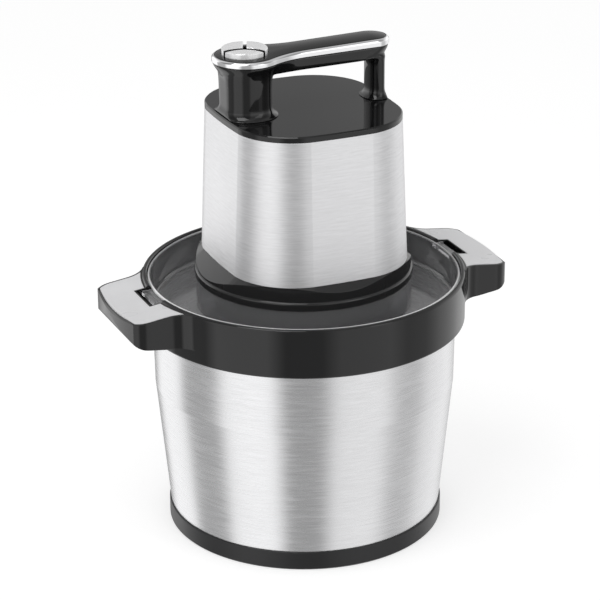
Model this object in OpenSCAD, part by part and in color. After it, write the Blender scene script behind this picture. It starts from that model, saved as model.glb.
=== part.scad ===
// Electric food chopper: a steel bowl with two side grips, a clear smoked lid,
// and a motor unit with a carrying handle that stands in the lid.
// Millimetres. Z is up, the base ring stands on z = 0, the axis of rotation is the Z axis.
// The side grips and the top handle lie along X, and the front looks along -Y.

/* [Bowl] */
// outer diameter of the black rim band
rim_d = 240; // [226:1:256]
// height of the rim's top edge above the table
rim_top = 197; // [170:1:230]
// height of the rim band
rim_h = 37; // [28:1:45]
// how far the rim band stands out beyond the steel bowl
rim_overhang = 7; // [5:0.1:9]
// how far the steel wall leans in from its mouth to its foot
foot_inset = 10.3; // [6:0.1:16]
// height at which the tapering lower wall turns upright
bowl_knee_z = 112; // [80:1:140]
// thickness of the steel sheet of the bowl
bowl_wall = 0.9; // [0.6:0.1:2]
// height of the black base ring
base_h = 14.3; // [10:0.1:20]
// how far the base ring stands proud of the steel
base_proud = 1.1; // [0.6:0.1:4]

/* [Side grips] */
// length of a grip beyond the rim band
grip_length = 32.5; // [28:0.5:50]
// half the width of a grip
grip_half_w = 43; // [30:1:50]
// radius of a grip's outer corners
grip_corner_r = 15; // [8:1:25]
// radius of the hollow curve from the rim into a grip
grip_root_r = 18; // [8:1:30]
// height of a grip from its underside to its plate
grip_h = 22; // [16:1:30]
// drop of a grip's plate from the rim to the tip
grip_droop = 4.2; // [1:0.1:8]
// thickness of the inlaid plate
inlay_t = 1.6; // [1:0.1:3]
// half the width of the notch for the lid's tab
notch_half_w = 15.7; // [10:0.1:22]
// how far the notch reaches out beyond the rim band
notch_depth = 7; // [4:0.5:9]

/* [Lid] */
// thickness of the clear lid
lid_t = 2.4; // [1.8:0.1:4]
// depth of the lid's floor below its edge
lid_depth = 22.3; // [14:0.1:30]
// outer radius of the collar that carries the motor unit
collar_r = 80; // [70:0.5:88]
// height of the floor of the central well above the table
well_z = 147; // [135:0.5:155]

/* [Motor housing] */
// half the width of the steel sleeve at its lower edge
sleeve_half_x = 68.4; // [60:0.1:72]
// half the depth of the steel sleeve at its lower edge
sleeve_half_y = 73.8; // [66:0.1:76]
// radius of the sleeve's four rounded corners
sleeve_corner_r = 49; // [35:1:55]
// radius of the sleeve's slightly bowed sides
sleeve_side_r = 420; // [250:10:800]
// height of the sleeve's lower edge above the table
sleeve_z = 212.7; // [205:0.1:225]
// height of the steel sleeve
sleeve_h = 106.9; // [80:0.1:140]
// how far each side leans in from bottom to top
sleeve_draft = 4.2; // [1:0.1:8]
// thickness of the sleeve's sheet
sleeve_t = 0.8; // [0.6:0.1:2]
// height of the lip that sits over the lid's collar
lip_h = 6.5; // [4:0.1:10]
// thickness of the black top cap
cap_h = 4.4; // [3:0.1:8]

/* [Top handle] */
// place of the round head along X
head_x = -43.5; // [-48:0.5:-40]
// radius of the round head
head_r = 25; // [22:0.5:28]
// place of the bar's round end along X
bar_end_x = 53.2; // [46:0.1:56]
// half the width of the bar
bar_half_w = 14; // [10:0.5:17]
// height of the hand gap under the bar
hand_gap = 31; // [24:0.5:40]
// height of the black lower half of the bar
bar_h = 9.5; // [8:0.1:16]
// height of the bright trim strip
trim_h = 5.3; // [4.2:0.1:8]
// radius of the group of three keys
key_group_r = 16.6; // [12:0.1:18]
// travel of each key
key_travel = 1.8; // [1:0.1:3]

/* [Blades] */
// gap between the blade tips and the foot of the bowl's wall
blade_gap = 9.7; // [6:0.1:25]
// thickness of the blade sheet
blade_t = 1.6; // [1:0.1:2.5]
// height of the lower blade above the table
low_blade_z = 30; // [26:1:45]
// height of the upper blade above the table
high_blade_z = 72; // [58:1:90]
// radius of the fixed steel pin
pin_r = 4; // [3:0.1:5]
// height of the top of the pin above the table
pin_top = 100; // [96:1:104]

/* [Motor and gears] */
// gear module
gear_m = 1.25; // [1:0.05:1.3]
// teeth on the sun pinion
sun_teeth = 12; // [12:6:12]
// teeth on each planet gear
planet_teeth = 18; // [18:6:18]
// width of the gear faces
gear_face = 12; // [8:1:12]
// half the play between two teeth
gear_play = 0.07; // [0.04:0.01:0.12]
// radius of the stator's laminations
stator_r = 45; // [43:0.5:47]
// height of the stator's laminations
stator_h = 50; // [35:1:55]
// depth of the field from the stator's edge to the armature
field_depth = 20.5; // [19.5:0.5:22]

/* [Output] */
// sub-part to draw

/* [Hidden] */
$fn = 96;

// colours as the photograph shows them
steel = [0.80, 0.80, 0.81];
bright = [0.88, 0.88, 0.90];
gloss_black = [0.10, 0.10, 0.10];
soft_black = [0.15, 0.15, 0.15];
inlay_grey = [0.80, 0.80, 0.81];
smoke = [0.32, 0.32, 0.34, 0.6];
rubber = [0.22, 0.22, 0.23];
copper = [0.72, 0.42, 0.22];
lamination = [0.45, 0.46, 0.48];
nylon = [0.90, 0.89, 0.84];

// small clearances
seat = 0.1;
gap = 0.3;
run = 0.05;
eps = 0.5;

// bowl
rim_r = rim_d / 2;
rim_z = rim_top - rim_h;
mouth_r = rim_r - rim_overhang;
foot_r = mouth_r - foot_inset;
grip_reach = rim_r + grip_length;
notch_reach = rim_r + notch_depth;
floor_z = 5;
floor_corner_r = 10;
base_r = foot_r + base_proud;
knee_r = mouth_r - 0.8;
lid_r = rim_r - 3.8;
rim_bore_r = lid_r + gap;
ledge_z = rim_top - 1.5 - lid_depth - lid_t - 1.7;
shell_top = ledge_z - 2.5;
dome_z = 12;
dome_r = 19;

// pin and blades
washer_t = 1;
flange_z = dome_z + bowl_wall + washer_t;
flange_t = 2.2;
stud_r = 4;
sleeve_wall = 2;
hub_bore_r = pin_r + run + sleeve_wall + run;
hub_z = flange_z + flange_t + gap + 2 + gap;
hub_r = 11;
hub_top = 122;
blade_sweep_r = foot_r - blade_gap;
blade_ring_r = 17;
spacer_r = 13.5;
socket_r = 13;
socket_top = well_z - 3;
socket_floor = hub_top + 3;
dog_r = 8.4;
dog_root_r = 6.4;
dog_lobes = 6;
shaft_r = 5;

// lid
lid_top = rim_top - 1.5;
lid_floor = lid_top - lid_depth;
collar_top = sleeve_z - 10.9 - lip_h - gap;
well_r = 64;
well_foot_r = 51;
lid_hole_r = 14;
tab_half_w = notch_half_w - 1.2;

// motor base
lip_z = collar_top + gap;
lip_r = collar_r + 1;
base_floor = well_z + lid_t + 1.2;
cone_r = 76.8;
cone_foot_r = well_foot_r - 1;
base_t = 3;
cap_z = sleeve_z + sleeve_h;
deck_z = cap_z + cap_h;

// handle
bar_z = deck_z + hand_gap;
trim_z = bar_z + bar_h;
trim_top = trim_z + trim_h;
trim_t = 2;
trim_bevel = 1.8;
cover_z = trim_top - 3;
cover_top = trim_top + 0.5;
bar_root_r = 20;
cap_chamfer = 0.9;
deck_edge = -sleeve_draft - cap_chamfer;
post_half_x = 17.2;
post_half_y = 19.5;
post_corner_r = 12;
slim_half_x = 5.2;
slim_x = sleeve_half_x - sleeve_draft - cap_chamfer - slim_half_x - 0.2;
slim_half_y = 10.6;
slim_corner_r = 5;
post_fillet = 5.5;
key_well_r = key_group_r + 2.8;
switch_well_r = 15.5;
key_well_z = bar_z - 2;
switch_top = key_well_z + 6.4;
key_plate_z = cover_z - 2.4;
key_turn = -23.5;

// gear train
ring_teeth = sun_teeth + 2 * planet_teeth;
pressure = 25;
addendum = 0.8 * gear_m;
dedendum = 1.05 * gear_m;
orbit_r = (sun_teeth + planet_teeth) * gear_m / 2;
ring_r = ring_teeth * gear_m / 2 + 7;
box_z = base_floor + 3.4;
carrier_z = box_z + 4.6;
carrier_t = 4;
gear_z = carrier_z + carrier_t + 1.2;
box_top = gear_z + gear_face + 1.2;
cover_t = 4;
bracket_z = box_top + cover_t;
stator_z = bracket_z + 26;
stator_top = stator_z + stator_h;
bridge_z = stator_top + 32;
bearing_r = 11;
planet_pin_r = 3;
armature_r = stator_r - field_depth;
fan_r = stator_r - 7;
bearing_h = 7.2;
brush_z = stator_top + 14;

// points on an arc from angle a0 to angle a1
function arc(cx, cy, r, a0, a1, n = 8) =
  [for (i = [0:n]) let (a = a0 + (a1 - a0) * i / n) [cx + r * cos(a), cy + r * sin(a)]];

// half of a tooth's angle at radius r, from the involute of the base circle
function inv(a) = tan(a) * 180 / PI - a;
function tooth_half(teeth, r, play) =
  let (rp = teeth * gear_m / 2, rb = rp * cos(pressure), rr = max(r, rb))
  90 / teeth - play / rp * 180 / PI + inv(pressure) - inv(acos(rb / rr));
function gear_points(teeth, root, tip, play, n = 5) =
  let (rb = teeth * gear_m / 2 * cos(pressure), r0 = max(root, rb))
  let (radii = concat(root < rb ? [root] : [], [for (i = [0:n]) r0 + (tip - r0) * i / n]))
  let (k = len(radii) - 1)
  [for (t = [0:teeth - 1]) let (c = 360 * t / teeth)
    each concat(
      [for (i = [0:k]) let (a = c - tooth_half(teeth, radii[i], play)) radii[i] * [cos(a), sin(a)]],
      [for (i = [k:-1:0]) let (a = c + tooth_half(teeth, radii[i], play)) radii[i] * [cos(a), sin(a)]])];

// an outside gear with a tooth centred on +X
module gear_2d(teeth, play) {
  rp = teeth * gear_m / 2;
  polygon(gear_points(teeth, rp - dedendum, rp + addendum, play));
}

// a ring about Z between two radii
module tube(r_in, r_out, z, h) {
  translate([0, 0, z])
    difference() {
      cylinder(r = r_out, h = h);
      translate([0, 0, -eps]) cylinder(r = r_in, h = h + 2 * eps);
    }
}

module bowed_side(h, low, high) {
  cylinder(r1 = sleeve_side_r + low, r2 = sleeve_side_r + high, h = h);
}

// Rounded square with bowed sides. Corners and sides lean by the same amount, from low at the
// bottom to high at the top, so a corner meets its two sides in the same planes at every height.
// The corners stand out by a hair, so that the two surfaces cross and share a clean edge.
module soft_square(h, low, high) {
  sx = sleeve_half_x - sleeve_side_r;
  sy = sleeve_half_y - sleeve_side_r;
  reach = sleeve_side_r - sleeve_corner_r;
  half = norm([sx, sy]) / 2;
  rise = sqrt(reach * reach - half * half);
  along = [-sy, -sx] / (2 * half);
  c = [sx / 2, sy / 2] + rise * along;
  right = c + 120 * (c - [sx, 0]) / reach;
  back = c + 120 * (c - [0, sy]) / reach;
  hair = 0.08;
  flip = [[1, 1], [-1, 1], [-1, -1], [1, -1]];
  arms = [for (k = [0:3]) let (f = flip[k], ends = k % 2 == 0 ? [right, c, back] : [back, c, right])
    each [for (p = ends) [f[0] * p[0], f[1] * p[1]]]];
  intersection() {
    translate([sx, 0, 0]) bowed_side(h, low, high);
    translate([-sx, 0, 0]) bowed_side(h, low, high);
    translate([0, sy, 0]) bowed_side(h, low, high);
    translate([0, -sy, 0]) bowed_side(h, low, high);
    union() {
      translate([0, 0, -eps]) linear_extrude(h + 2 * eps) polygon(arms);
      for (f = flip)
        translate([f[0] * (c[0] + hair), f[1] * (c[1] + hair), 0])
          cylinder(r1 = sleeve_corner_r + low, r2 = sleeve_corner_r + high, h = h);
    }
  }
}

module base_ring() {
  color(soft_black)
    rotate_extrude()
      polygon(concat(
        [[base_r - 15, 1], [base_r - 14, 0], [base_r - 1.2, 0], [base_r, 1.2]],
        arc(base_r - 1, base_h - 1, 1, 0, 90, 4),
        [[foot_r + seat, base_h]],
        arc(foot_r - floor_corner_r, floor_z + floor_corner_r, floor_corner_r + seat, -4, -90, 8),
        [[base_r - 15, floor_z - seat]]));
}

// half section of the pressed sheet: raised centre, floor, rounded corner, tapering and upright walls
module bowl() {
  corner_z = floor_z + floor_corner_r;
  corner_x = foot_r - floor_corner_r;
  color(steel)
    rotate_extrude()
      polygon(concat(
        [[stud_r + seat, dome_z], [dome_r - 4, dome_z], [dome_r + 8, floor_z]],
        arc(corner_x, corner_z, floor_corner_r, -90, 0, 10),
        [[knee_r, bowl_knee_z], [mouth_r, rim_z + 2], [mouth_r, shell_top]],
        [[mouth_r - bowl_wall, shell_top], [mouth_r - bowl_wall, rim_z + 2]],
        [[knee_r - bowl_wall, bowl_knee_z]],
        arc(corner_x, corner_z, floor_corner_r - bowl_wall, 0, -90, 10),
        [[dome_r + 8.4, floor_z + bowl_wall], [dome_r - 3.6, dome_z + bowl_wall]],
        [[stud_r + seat, dome_z + bowl_wall]]));
}

// outline of the +X grip seen from above, shrunk all round by inset
module grip_plan(inset = 0) {
  w = grip_half_w - inset;
  r = grip_corner_r - inset;
  tip = grip_reach - inset;
  root = grip_root_r + inset;
  root_x = sqrt(pow(rim_r + grip_root_r, 2) - pow(grip_half_w + grip_root_r, 2));
  tip_r = 190;
  root_y = grip_half_w + grip_root_r;
  intersection() {
    union() {
      difference() {
        polygon([[0, 0], [root_x, -root_y], [root_x, root_y]]);
        for (s = [-1, 1]) translate([root_x, s * root_y]) circle(root);
      }
      translate([root_x, -w]) square([tip - r - root_x, 2 * w]);
      translate([root_x, r - w]) square([tip - root_x, 2 * (w - r)]);
      for (s = [-1, 1]) translate([tip - r, s * (w - r)]) circle(r);
    }
    translate([tip - tip_r, 0]) circle(tip_r);
  }
}

// height of the plate's surface at distance x from the axis
function plate_z(x) = rim_top - 1.8 - grip_droop * (x - rim_r) / (grip_reach - rim_r);

// side view of a grip: sloping top, rounded tip, scooped underside
module grip_side() {
  low = plate_z(grip_reach) - grip_h + grip_droop;
  inner = rim_r - 30;
  polygon(concat(
    [[inner, plate_z(inner)], [grip_reach - 4, plate_z(grip_reach - 4)]],
    [[grip_reach - 1, plate_z(grip_reach) - 1.2], [grip_reach + 1, plate_z(grip_reach) - 4]],
    arc(grip_reach - 13, low + 12, 13, 0, -80, 8),
    [[rim_r + 4, low - 3], [inner, low - 3]]));
}

module grip_solid() {
  intersection() {
    translate([0, 0, rim_z]) linear_extrude(rim_h) grip_plan();
    rotate([90, 0, 0]) translate([0, 0, -rim_r]) linear_extrude(rim_d) grip_side();
  }
}

// layer just under the plate's surface, between two depths, inside the grip's outline
module plate_layer(inset, top, depth) {
  inner = rim_r - 30;
  outer = grip_reach + 30;
  intersection() {
    translate([0, 0, rim_z]) linear_extrude(rim_h + 4)
      difference() {
        grip_plan(inset);
        circle(rim_r + 1 + inset - 1.6);
        translate([0, -notch_half_w - inset + 0.6])
          square([notch_reach + inset - 0.6, 2 * (notch_half_w + inset - 0.6)]);
      }
    rotate([90, 0, 0]) translate([0, 0, -rim_r]) linear_extrude(rim_d)
      polygon([[inner, plate_z(inner) + top], [outer, plate_z(outer) + top],
        [outer, plate_z(outer) - depth], [inner, plate_z(inner) - depth]]);
  }
}

// black moulding: rim band, two grips with their plate seats, pockets, ribs and tab notches
module bowl_collar() {
  pocket_x = rim_r + 4;
  color(gloss_black) {
    difference() {
      union() {
        rotate_extrude()
          polygon(concat(
            [[mouth_r + seat, rim_z]],
            arc(rim_r - 1.6, rim_z + 1.6, 1.6, -90, 0, 4),
            arc(rim_r - 1.8, rim_top - 1.8, 1.8, 0, 90, 5),
            [[rim_bore_r + 0.6, rim_top], [rim_bore_r, rim_top - 0.6], [rim_bore_r, ledge_z]],
            [[mouth_r - bowl_wall - 0.3, ledge_z], [mouth_r - bowl_wall - 0.3, shell_top + seat]],
            [[mouth_r + seat, shell_top + seat]]));
        for (a = [0, 180])
          rotate(a)
            difference() {
              grip_solid();
              translate([0, 0, rim_z - 1]) cylinder(r = rim_r - 1, h = rim_h + 2);
            }
      }
      for (a = [0, 180])
        rotate(a) {
          plate_layer(1.6, 5, inlay_t + 0.1);
          translate([rim_bore_r - 1, -notch_half_w, lid_top - 6.5])
            cube([notch_reach - rim_bore_r + 1, 2 * notch_half_w, 12]);
          difference() {
            intersection() {
              translate([0, 0, rim_z - 5]) linear_extrude(plate_z(grip_reach) - rim_z - 1)
                difference() {
                  grip_plan(3.2);
                  circle(pocket_x);
                }
              translate([pocket_x, -rim_r / 2, rim_z - 5])
                cube([grip_reach - 7 - pocket_x, rim_r, plate_z(grip_reach) - rim_z - 1]);
            }
            for (y = [-1, 1])
              translate([pocket_x - 5, y * grip_half_w / 3 - 1, rim_z])
                cube([grip_length + 10, 2, rim_h]);
          }
        }
    }
  }
}

module grip_inlay() {
  color(inlay_grey) plate_layer(1.8, 0.2, inlay_t);
}

module left_grip_inlay() {
  rotate(180) grip_inlay();
}

module right_grip_inlay() {
  grip_inlay();
}

module spindle_pin() {
  color(bright)
    rotate_extrude()
      polygon(concat(
        [[0, 2.4], [stud_r - 0.8, 2.4], [stud_r, 3.2], [stud_r, flange_z], [14, flange_z]],
        [[14, flange_z + flange_t - 0.6], [13.4, flange_z + flange_t], [pin_r, flange_z + flange_t]],
        [[pin_r, pin_top - 1.5]], [[pin_r - 1.5, pin_top], [0, pin_top]]));
}

module spindle_washer() {
  color(rubber) tube(stud_r + seat, 13, dome_z + bowl_wall, washer_t);
}

module spindle_nut() {
  color(steel)
    difference() {
      union() {
        translate([0, 0, dome_z - 1.2]) cylinder(r = 9.5, h = 1.2);
        translate([0, 0, dome_z - 7.6]) cylinder(r = 7.5, h = 6.4, $fn = 6);
      }
      cylinder(r = stud_r + run, h = 30);
    }
}

// bearing thimble that drops over the pin and carries the hub
module pin_sleeve() {
  foot = flange_z + flange_t + gap;
  r = pin_r + run + sleeve_wall;
  color(nylon)
    rotate_extrude()
      polygon([[pin_r + run, foot], [10, foot], [10, foot + 2], [r, foot + 2], [r, pin_top + 2],
        [0, pin_top + 2], [0, pin_top + gap], [pin_r + run, pin_top + gap]]);
}

module blade_hub() {
  color(soft_black)
    difference() {
      rotate_extrude()
        polygon([[hub_bore_r, hub_z], [15, hub_z], [blade_ring_r, hub_z + 2],
          [blade_ring_r, low_blade_z - 1], [blade_ring_r - 1, low_blade_z], [hub_r, low_blade_z],
          [hub_r, hub_top - 1], [hub_r - 1, hub_top], [0, hub_top],
          [0, pin_top + 2.4], [hub_bore_r, pin_top + 2.4]]);
      for (a = [30:60:330])
        rotate(a) translate([hub_r + 1.2, 0, high_blade_z + 14]) cylinder(r = 2, h = 14);
    }
}

// one curved wing, ground to a bevel along its convex leading edge
module wing(z) {
  lead_r = 0.84 * blade_sweep_r;
  lead = [0.45 * blade_sweep_r, -0.665 * blade_sweep_r];
  trail = [0.54 * blade_sweep_r, -0.86 * blade_sweep_r];
  bevel = 3;
  translate([0, 0, z])
    difference() {
      intersection() {
        translate([lead[0], lead[1], 0]) cylinder(r1 = lead_r, r2 = lead_r - bevel, h = blade_t);
        cylinder(r = blade_sweep_r, h = blade_t);
        translate([2, -blade_sweep_r, 0]) cube([blade_sweep_r, 2 * blade_sweep_r, blade_t]);
      }
      translate([trail[0], trail[1], -eps]) cylinder(r = lead_r, h = blade_t + 2 * eps);
    }
}

module blade_pair(z) {
  color(bright)
    difference() {
      union() {
        for (a = [0, 180]) rotate(a) wing(z);
        translate([0, 0, z]) cylinder(r = blade_ring_r, h = blade_t);
      }
      translate([0, 0, z - 1]) cylinder(r = hub_r + seat, h = blade_t + 2);
    }
}

module lower_blade() {
  blade_pair(low_blade_z);
}

module upper_blade() {
  rotate(90) blade_pair(high_blade_z);
}

module blade_spacer() {
  z = low_blade_z + blade_t;
  color(soft_black)
    difference() {
      translate([0, 0, z]) cylinder(r = spacer_r, h = high_blade_z - z);
      translate([0, 0, z - 1]) cylinder(r = hub_r + seat, h = high_blade_z - z + 2);
      for (a = [0:60:300])
        rotate(a) translate([spacer_r + 1.6, 0, z + 5]) cylinder(r = 2.6, h = high_blade_z - z - 10);
    }
}

module blade_nut() {
  z = high_blade_z + blade_t;
  color(soft_black)
    difference() {
      union() {
        translate([0, 0, z]) cylinder(r = 16, h = 2);
        translate([0, 0, z + 2]) cylinder(r1 = 15, r2 = 13, h = 6);
      }
      translate([0, 0, z - 1]) cylinder(r = hub_r + seat, h = 12);
    }
}

// round-lobed drive star, grown by the given play
module drive_star(play = 0) {
  circle(dog_root_r + play);
  for (a = [0:360 / dog_lobes:359])
    rotate(a) translate([dog_r - 2.2, 0]) circle(2.2 + play);
}

module drive_socket() {
  color(nylon)
    difference() {
      union() {
        translate([0, 0, hub_top - 10]) cylinder(r = socket_r, h = socket_top - hub_top + 10);
        translate([0, 0, socket_top - 6]) cylinder(r = socket_r + 1.5, h = 6);
      }
      translate([0, 0, hub_top - 11]) cylinder(r = hub_r + seat, h = 11 + seat);
      translate([0, 0, socket_floor]) linear_extrude(socket_top) drive_star(gap);
      translate([0, 0, socket_top - 1.5]) cylinder(r1 = dog_r, r2 = dog_r + 2, h = 2);
    }
}

// half section of the clear lid: edge, wall, floor, collar, sloping well and its floor
module lid() {
  color(smoke) {
    rotate_extrude()
      polygon(concat(
        [[lid_hole_r, well_z], [well_foot_r + 1.8, well_z], [well_r + 2.2, lid_floor - lid_t]],
        [[lid_r - 3.6, lid_floor - lid_t], [lid_r - 1.8, lid_floor - lid_t + 1.8]],
        arc(lid_r - 1, lid_top - 1, 1, 0, 90, 3),
        [[lid_r - lid_t, lid_top], [lid_r - lid_t - 1.4, lid_floor + 3]],
        arc(lid_r - lid_t - 4.4, lid_floor + 3, 3, 0, -90, 4),
        [[collar_r, lid_floor], [collar_r, collar_top], [collar_r - lid_t, collar_top]],
        [[collar_r - lid_t, lid_floor], [well_r, lid_floor], [well_foot_r, well_z + lid_t]],
        [[lid_hole_r, well_z + lid_t]]));
    for (a = [0, 180])
      rotate(a) translate([lid_r - 2.2, -tab_half_w, lid_top - 4.6])
        difference() {
          cube([notch_reach - 4.5 - lid_r + 2.2, 2 * tab_half_w, 3.4]);
          translate([4.6, 2, 2]) cube([notch_reach, 2 * tab_half_w - 4, 4]);
        }
  }
}

module lid_seal() {
  color(rubber)
    rotate_extrude()
      polygon([[mouth_r - bowl_wall - 0.1, ledge_z], [rim_bore_r - 2.4, ledge_z],
        [rim_bore_r - 2.4, ledge_z + 1.6], [mouth_r - bowl_wall - 0.1, ledge_z + 1.6]]);
}

module shaft_seal() {
  color(rubber)
    rotate_extrude()
      polygon([[dog_r + 1.2, well_z - 0.6], [lid_hole_r - seat, well_z - 0.6],
        [lid_hole_r - seat, well_z + lid_t], [lid_hole_r + 2, well_z + lid_t],
        [lid_hole_r + 2, well_z + lid_t + 0.7], [dog_r + 1.2, well_z + lid_t + 0.7]]);
}

// lip, flared skirt up to the sleeve, and the tapering lower body that stands in the lid
module motor_base() {
  skirt_z = lip_z + lip_h;
  skirt_h = sleeve_z - skirt_z;
  flare = 13;
  well_h = lip_z - base_floor;
  color(gloss_black)
    difference() {
      union() {
        rotate_extrude()
          polygon(concat(
            [[0, base_floor], [cone_foot_r - 2, base_floor], [cone_foot_r, base_floor + 2]],
            [[cone_r, lip_z]],
            arc(lip_r - 1.2, lip_z + 1.2, 1.2, -90, 0, 4),
            arc(lip_r - 2, skirt_z - 2, 2, 0, 90, 5),
            [[0, skirt_z]]));
        translate([0, 0, skirt_z - 0.01])
          intersection() {
            soft_square(skirt_h + 0.01, flare, 0);
            cylinder(r = lip_r - 1.4, h = skirt_h + 1);
          }
      }
      translate([0, 0, base_floor + base_t])
        cylinder(r1 = cone_foot_r - 3.4, r2 = cone_r - 15.5, h = well_h);
      translate([0, 0, base_floor + base_t + well_h - 0.01]) cylinder(r = cone_r - 15.5, h = 60);
      translate([0, 0, base_floor - 1]) cylinder(r = 9, h = 20);
      translate([0, 0, base_floor + 1.4]) cylinder(r = bearing_r + seat, h = 20);
      for (x = [-1, 1], y = [-1, 1])
        translate([x * 44, y * 51, skirt_z - 6]) cylinder(r = 2.6, h = 40);
    }
}

module housing_sleeve() {
  lean = sleeve_draft / sleeve_h;
  color(steel)
    difference() {
      translate([0, 0, sleeve_z]) soft_square(sleeve_h, 0, -sleeve_draft);
      translate([0, 0, sleeve_z - 1])
        soft_square(sleeve_h + 2, lean - sleeve_t, -sleeve_draft - lean - sleeve_t);
      translate([0, sleeve_half_y + 10, sleeve_z + 14]) rotate([90, 0, 0]) cylinder(r = 6.1, h = 30);
    }
}

// black cap with a chamfered edge, and a spigot that centres the sleeve
module top_cap() {
  edge = -sleeve_draft;
  color(gloss_black)
    difference() {
      union() {
        translate([0, 0, cap_z]) soft_square(cap_h - cap_chamfer, edge, edge);
        translate([0, 0, deck_z - cap_chamfer])
          soft_square(cap_chamfer, edge, edge - cap_chamfer);
        translate([0, 0, cap_z - 6])
          difference() {
            soft_square(6, -sleeve_draft - 1.4, -sleeve_draft - 1.4);
            translate([0, 0, -1]) soft_square(7, -sleeve_draft - 4, -sleeve_draft - 4);
          }
        for (x = [-1, 1], y = [-1, 1])
          translate([x * 44, y * 51, cap_z - 8]) cylinder(r = 6, h = 8.5);
      }
      for (x = [-1, 1], y = [-1, 1])
        translate([x * 44, y * 51, cap_z - 9]) cylinder(r = 2.1, h = 9);
      translate([head_x, 0, cap_z - 1]) cylinder(r = 9, h = cap_h + 2);
    }
}

// four long screws that draw the cap, the sleeve and the base together
module tie_rods() {
  color(steel)
    for (x = [-1, 1], y = [-1, 1])
      translate([x * 44, y * 51, 0]) {
        translate([0, 0, lip_z + lip_h - 6]) cylinder(r = 2.5, h = 6);
        translate([0, 0, lip_z + lip_h]) cylinder(r = 2, h = cap_z - lip_z - lip_h - 0.5);
      }
}

// One level of the handle's outline, leaning in from inset a at the bottom to inset b at the top:
// round head, straight bar with a round end, and a hollow curve on each side of the neck.
// The end and the curves stand out by a hair, so that the surfaces cross and share clean edges.
module handle_layer(z, h, a, b, with_head = true) {
  hair = 0.08;
  root_y = bar_half_w + bar_root_r - hair;
  root_x = head_x + sqrt(pow(head_r + bar_root_r - hair, 2) - root_y * root_y);
  low = bar_half_w - a;
  high = bar_half_w - b;
  translate([0, 0, z]) {
    if (with_head) {
      translate([head_x, 0, 0]) cylinder(r1 = head_r - a, r2 = head_r - b, h = h);
      for (s = [-1, 1])
        difference() {
          linear_extrude(h) polygon([[head_x, 0], [root_x, 0], [root_x, s * root_y]]);
          translate([root_x, s * root_y, 0]) cylinder(r1 = bar_root_r + a, r2 = bar_root_r + b, h = h);
        }
    }
    translate([bar_end_x, 0, 0]) cylinder(r1 = low + hair, r2 = high + hair, h = h);
    translate([head_x, 0, 0]) rotate([90, 0, 90]) linear_extrude(bar_end_x - head_x)
      polygon([[-low, 0], [low, 0], [high, h], [-high, h]]);
  }
}

// upright with rounded corners, a hollow fillet round its foot, and a head that spreads by reach
// in an arc of radius big
module post(half_x, half_y, corner, z, h, fillet, reach, big) {
  turn = acos((big - reach) / big);
  flare = concat([[0, 0], [corner + fillet, 0]],
    arc(corner + fillet, fillet, fillet, 270, 180, 6),
    arc(corner + big, h - big * sin(turn), big, 180, 180 - turn, 8), [[0, h]]);
  cx = half_x - corner;
  cy = half_y - corner;
  translate([0, 0, z]) {
    for (sx = [-1, 1], sy = [-1, 1])
      translate([sx * cx, sy * cy, 0]) rotate_extrude() polygon(flare);
    for (a = [0, 180]) {
      rotate(a) translate([0, cy, 0]) rotate([90, 0, 0]) linear_extrude(2 * cy)
        translate([cx, 0]) polygon(flare);
      rotate(a + 90) translate([0, cx, 0]) rotate([90, 0, 0]) linear_extrude(2 * cx)
        translate([cy, 0]) polygon(flare);
    }
    translate([-cx, -cy, 0]) cube([2 * cx, 2 * cy, h]);
  }
}

// hollow curve in the corner between a post and the underside of the bar, growing along +X
module bar_fillet(x, r, half_w) {
  translate([x, half_w, bar_z + 0.4]) rotate([90, 0, 0]) linear_extrude(2 * half_w)
    polygon(concat([[-4, 4], [-4, -r]], arc(r, -r, r, 180, 90, 8), [[r, 4]]));
}

module handle_body() {
  top = trim_z - deck_z;
  neck = [[0, 0], [bar_root_r + 3.6, 0], [bar_root_r + 2, 3], [bar_root_r + 0.9, 6],
    [bar_root_r + 0.3, bar_h], [0, bar_h]];
  root_y = bar_half_w + bar_root_r - 0.08;
  root_x = head_x + sqrt(pow(head_r + bar_root_r - 0.08, 2) - root_y * root_y);
  color(gloss_black)
    difference() {
      union() {
        intersection() {
          translate([head_x, 0, 0])
            post(post_half_x, post_half_y, post_corner_r, deck_z, top, post_fillet, 7.9, 26);
          union() {
            translate([0, 0, deck_z]) soft_square(8, deck_edge, deck_edge);
            translate([head_x, 0, deck_z + 6]) cylinder(r = head_r - 0.3, h = top);
          }
        }
        intersection() {
          translate([slim_x, 0, 0])
            post(slim_half_x, slim_half_y, slim_corner_r, deck_z, hand_gap + 4, 4, 3.2, 9.5);
          union() {
            translate([0, 0, deck_z]) soft_square(8, deck_edge, deck_edge);
            translate([bar_end_x, 0, deck_z + 6]) cylinder(r = bar_half_w - 1.6, h = hand_gap);
          }
        }
        for (s = [-1, 1])
          difference() {
            translate([0, 0, bar_z + 1.2]) linear_extrude(bar_h - 1.2)
              polygon([[head_x, 0], [root_x, 0], [root_x, s * root_y]]);
            translate([root_x, s * root_y, bar_z]) rotate_extrude() polygon(neck);
          }
        handle_layer(bar_z, 1, 2.4, 1, false);
        handle_layer(bar_z + 1, 1.6, 1, 0.3, false);
        handle_layer(bar_z + 2.6, bar_h - 2.6, 0.3, 0.3, false);
        handle_layer(trim_z, cover_z - trim_z, trim_t + seat, trim_t + seat);
        bar_fillet(head_x + post_half_x, 9, 10);
        mirror([1, 0, 0]) bar_fillet(slim_half_x - slim_x, 5, 8);
      }
      translate([head_x, 0, key_well_z]) cylinder(r = switch_well_r, h = 30);
      translate([head_x, 0, key_plate_z - 3]) cylinder(r = key_well_r, h = 30);
      translate([head_x, 0, deck_z + 2]) cylinder(r = 11, h = key_well_z - deck_z - 4);
      translate([head_x, 0, deck_z - 1]) cylinder(r = 6, h = 40);
    }
}

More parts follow.
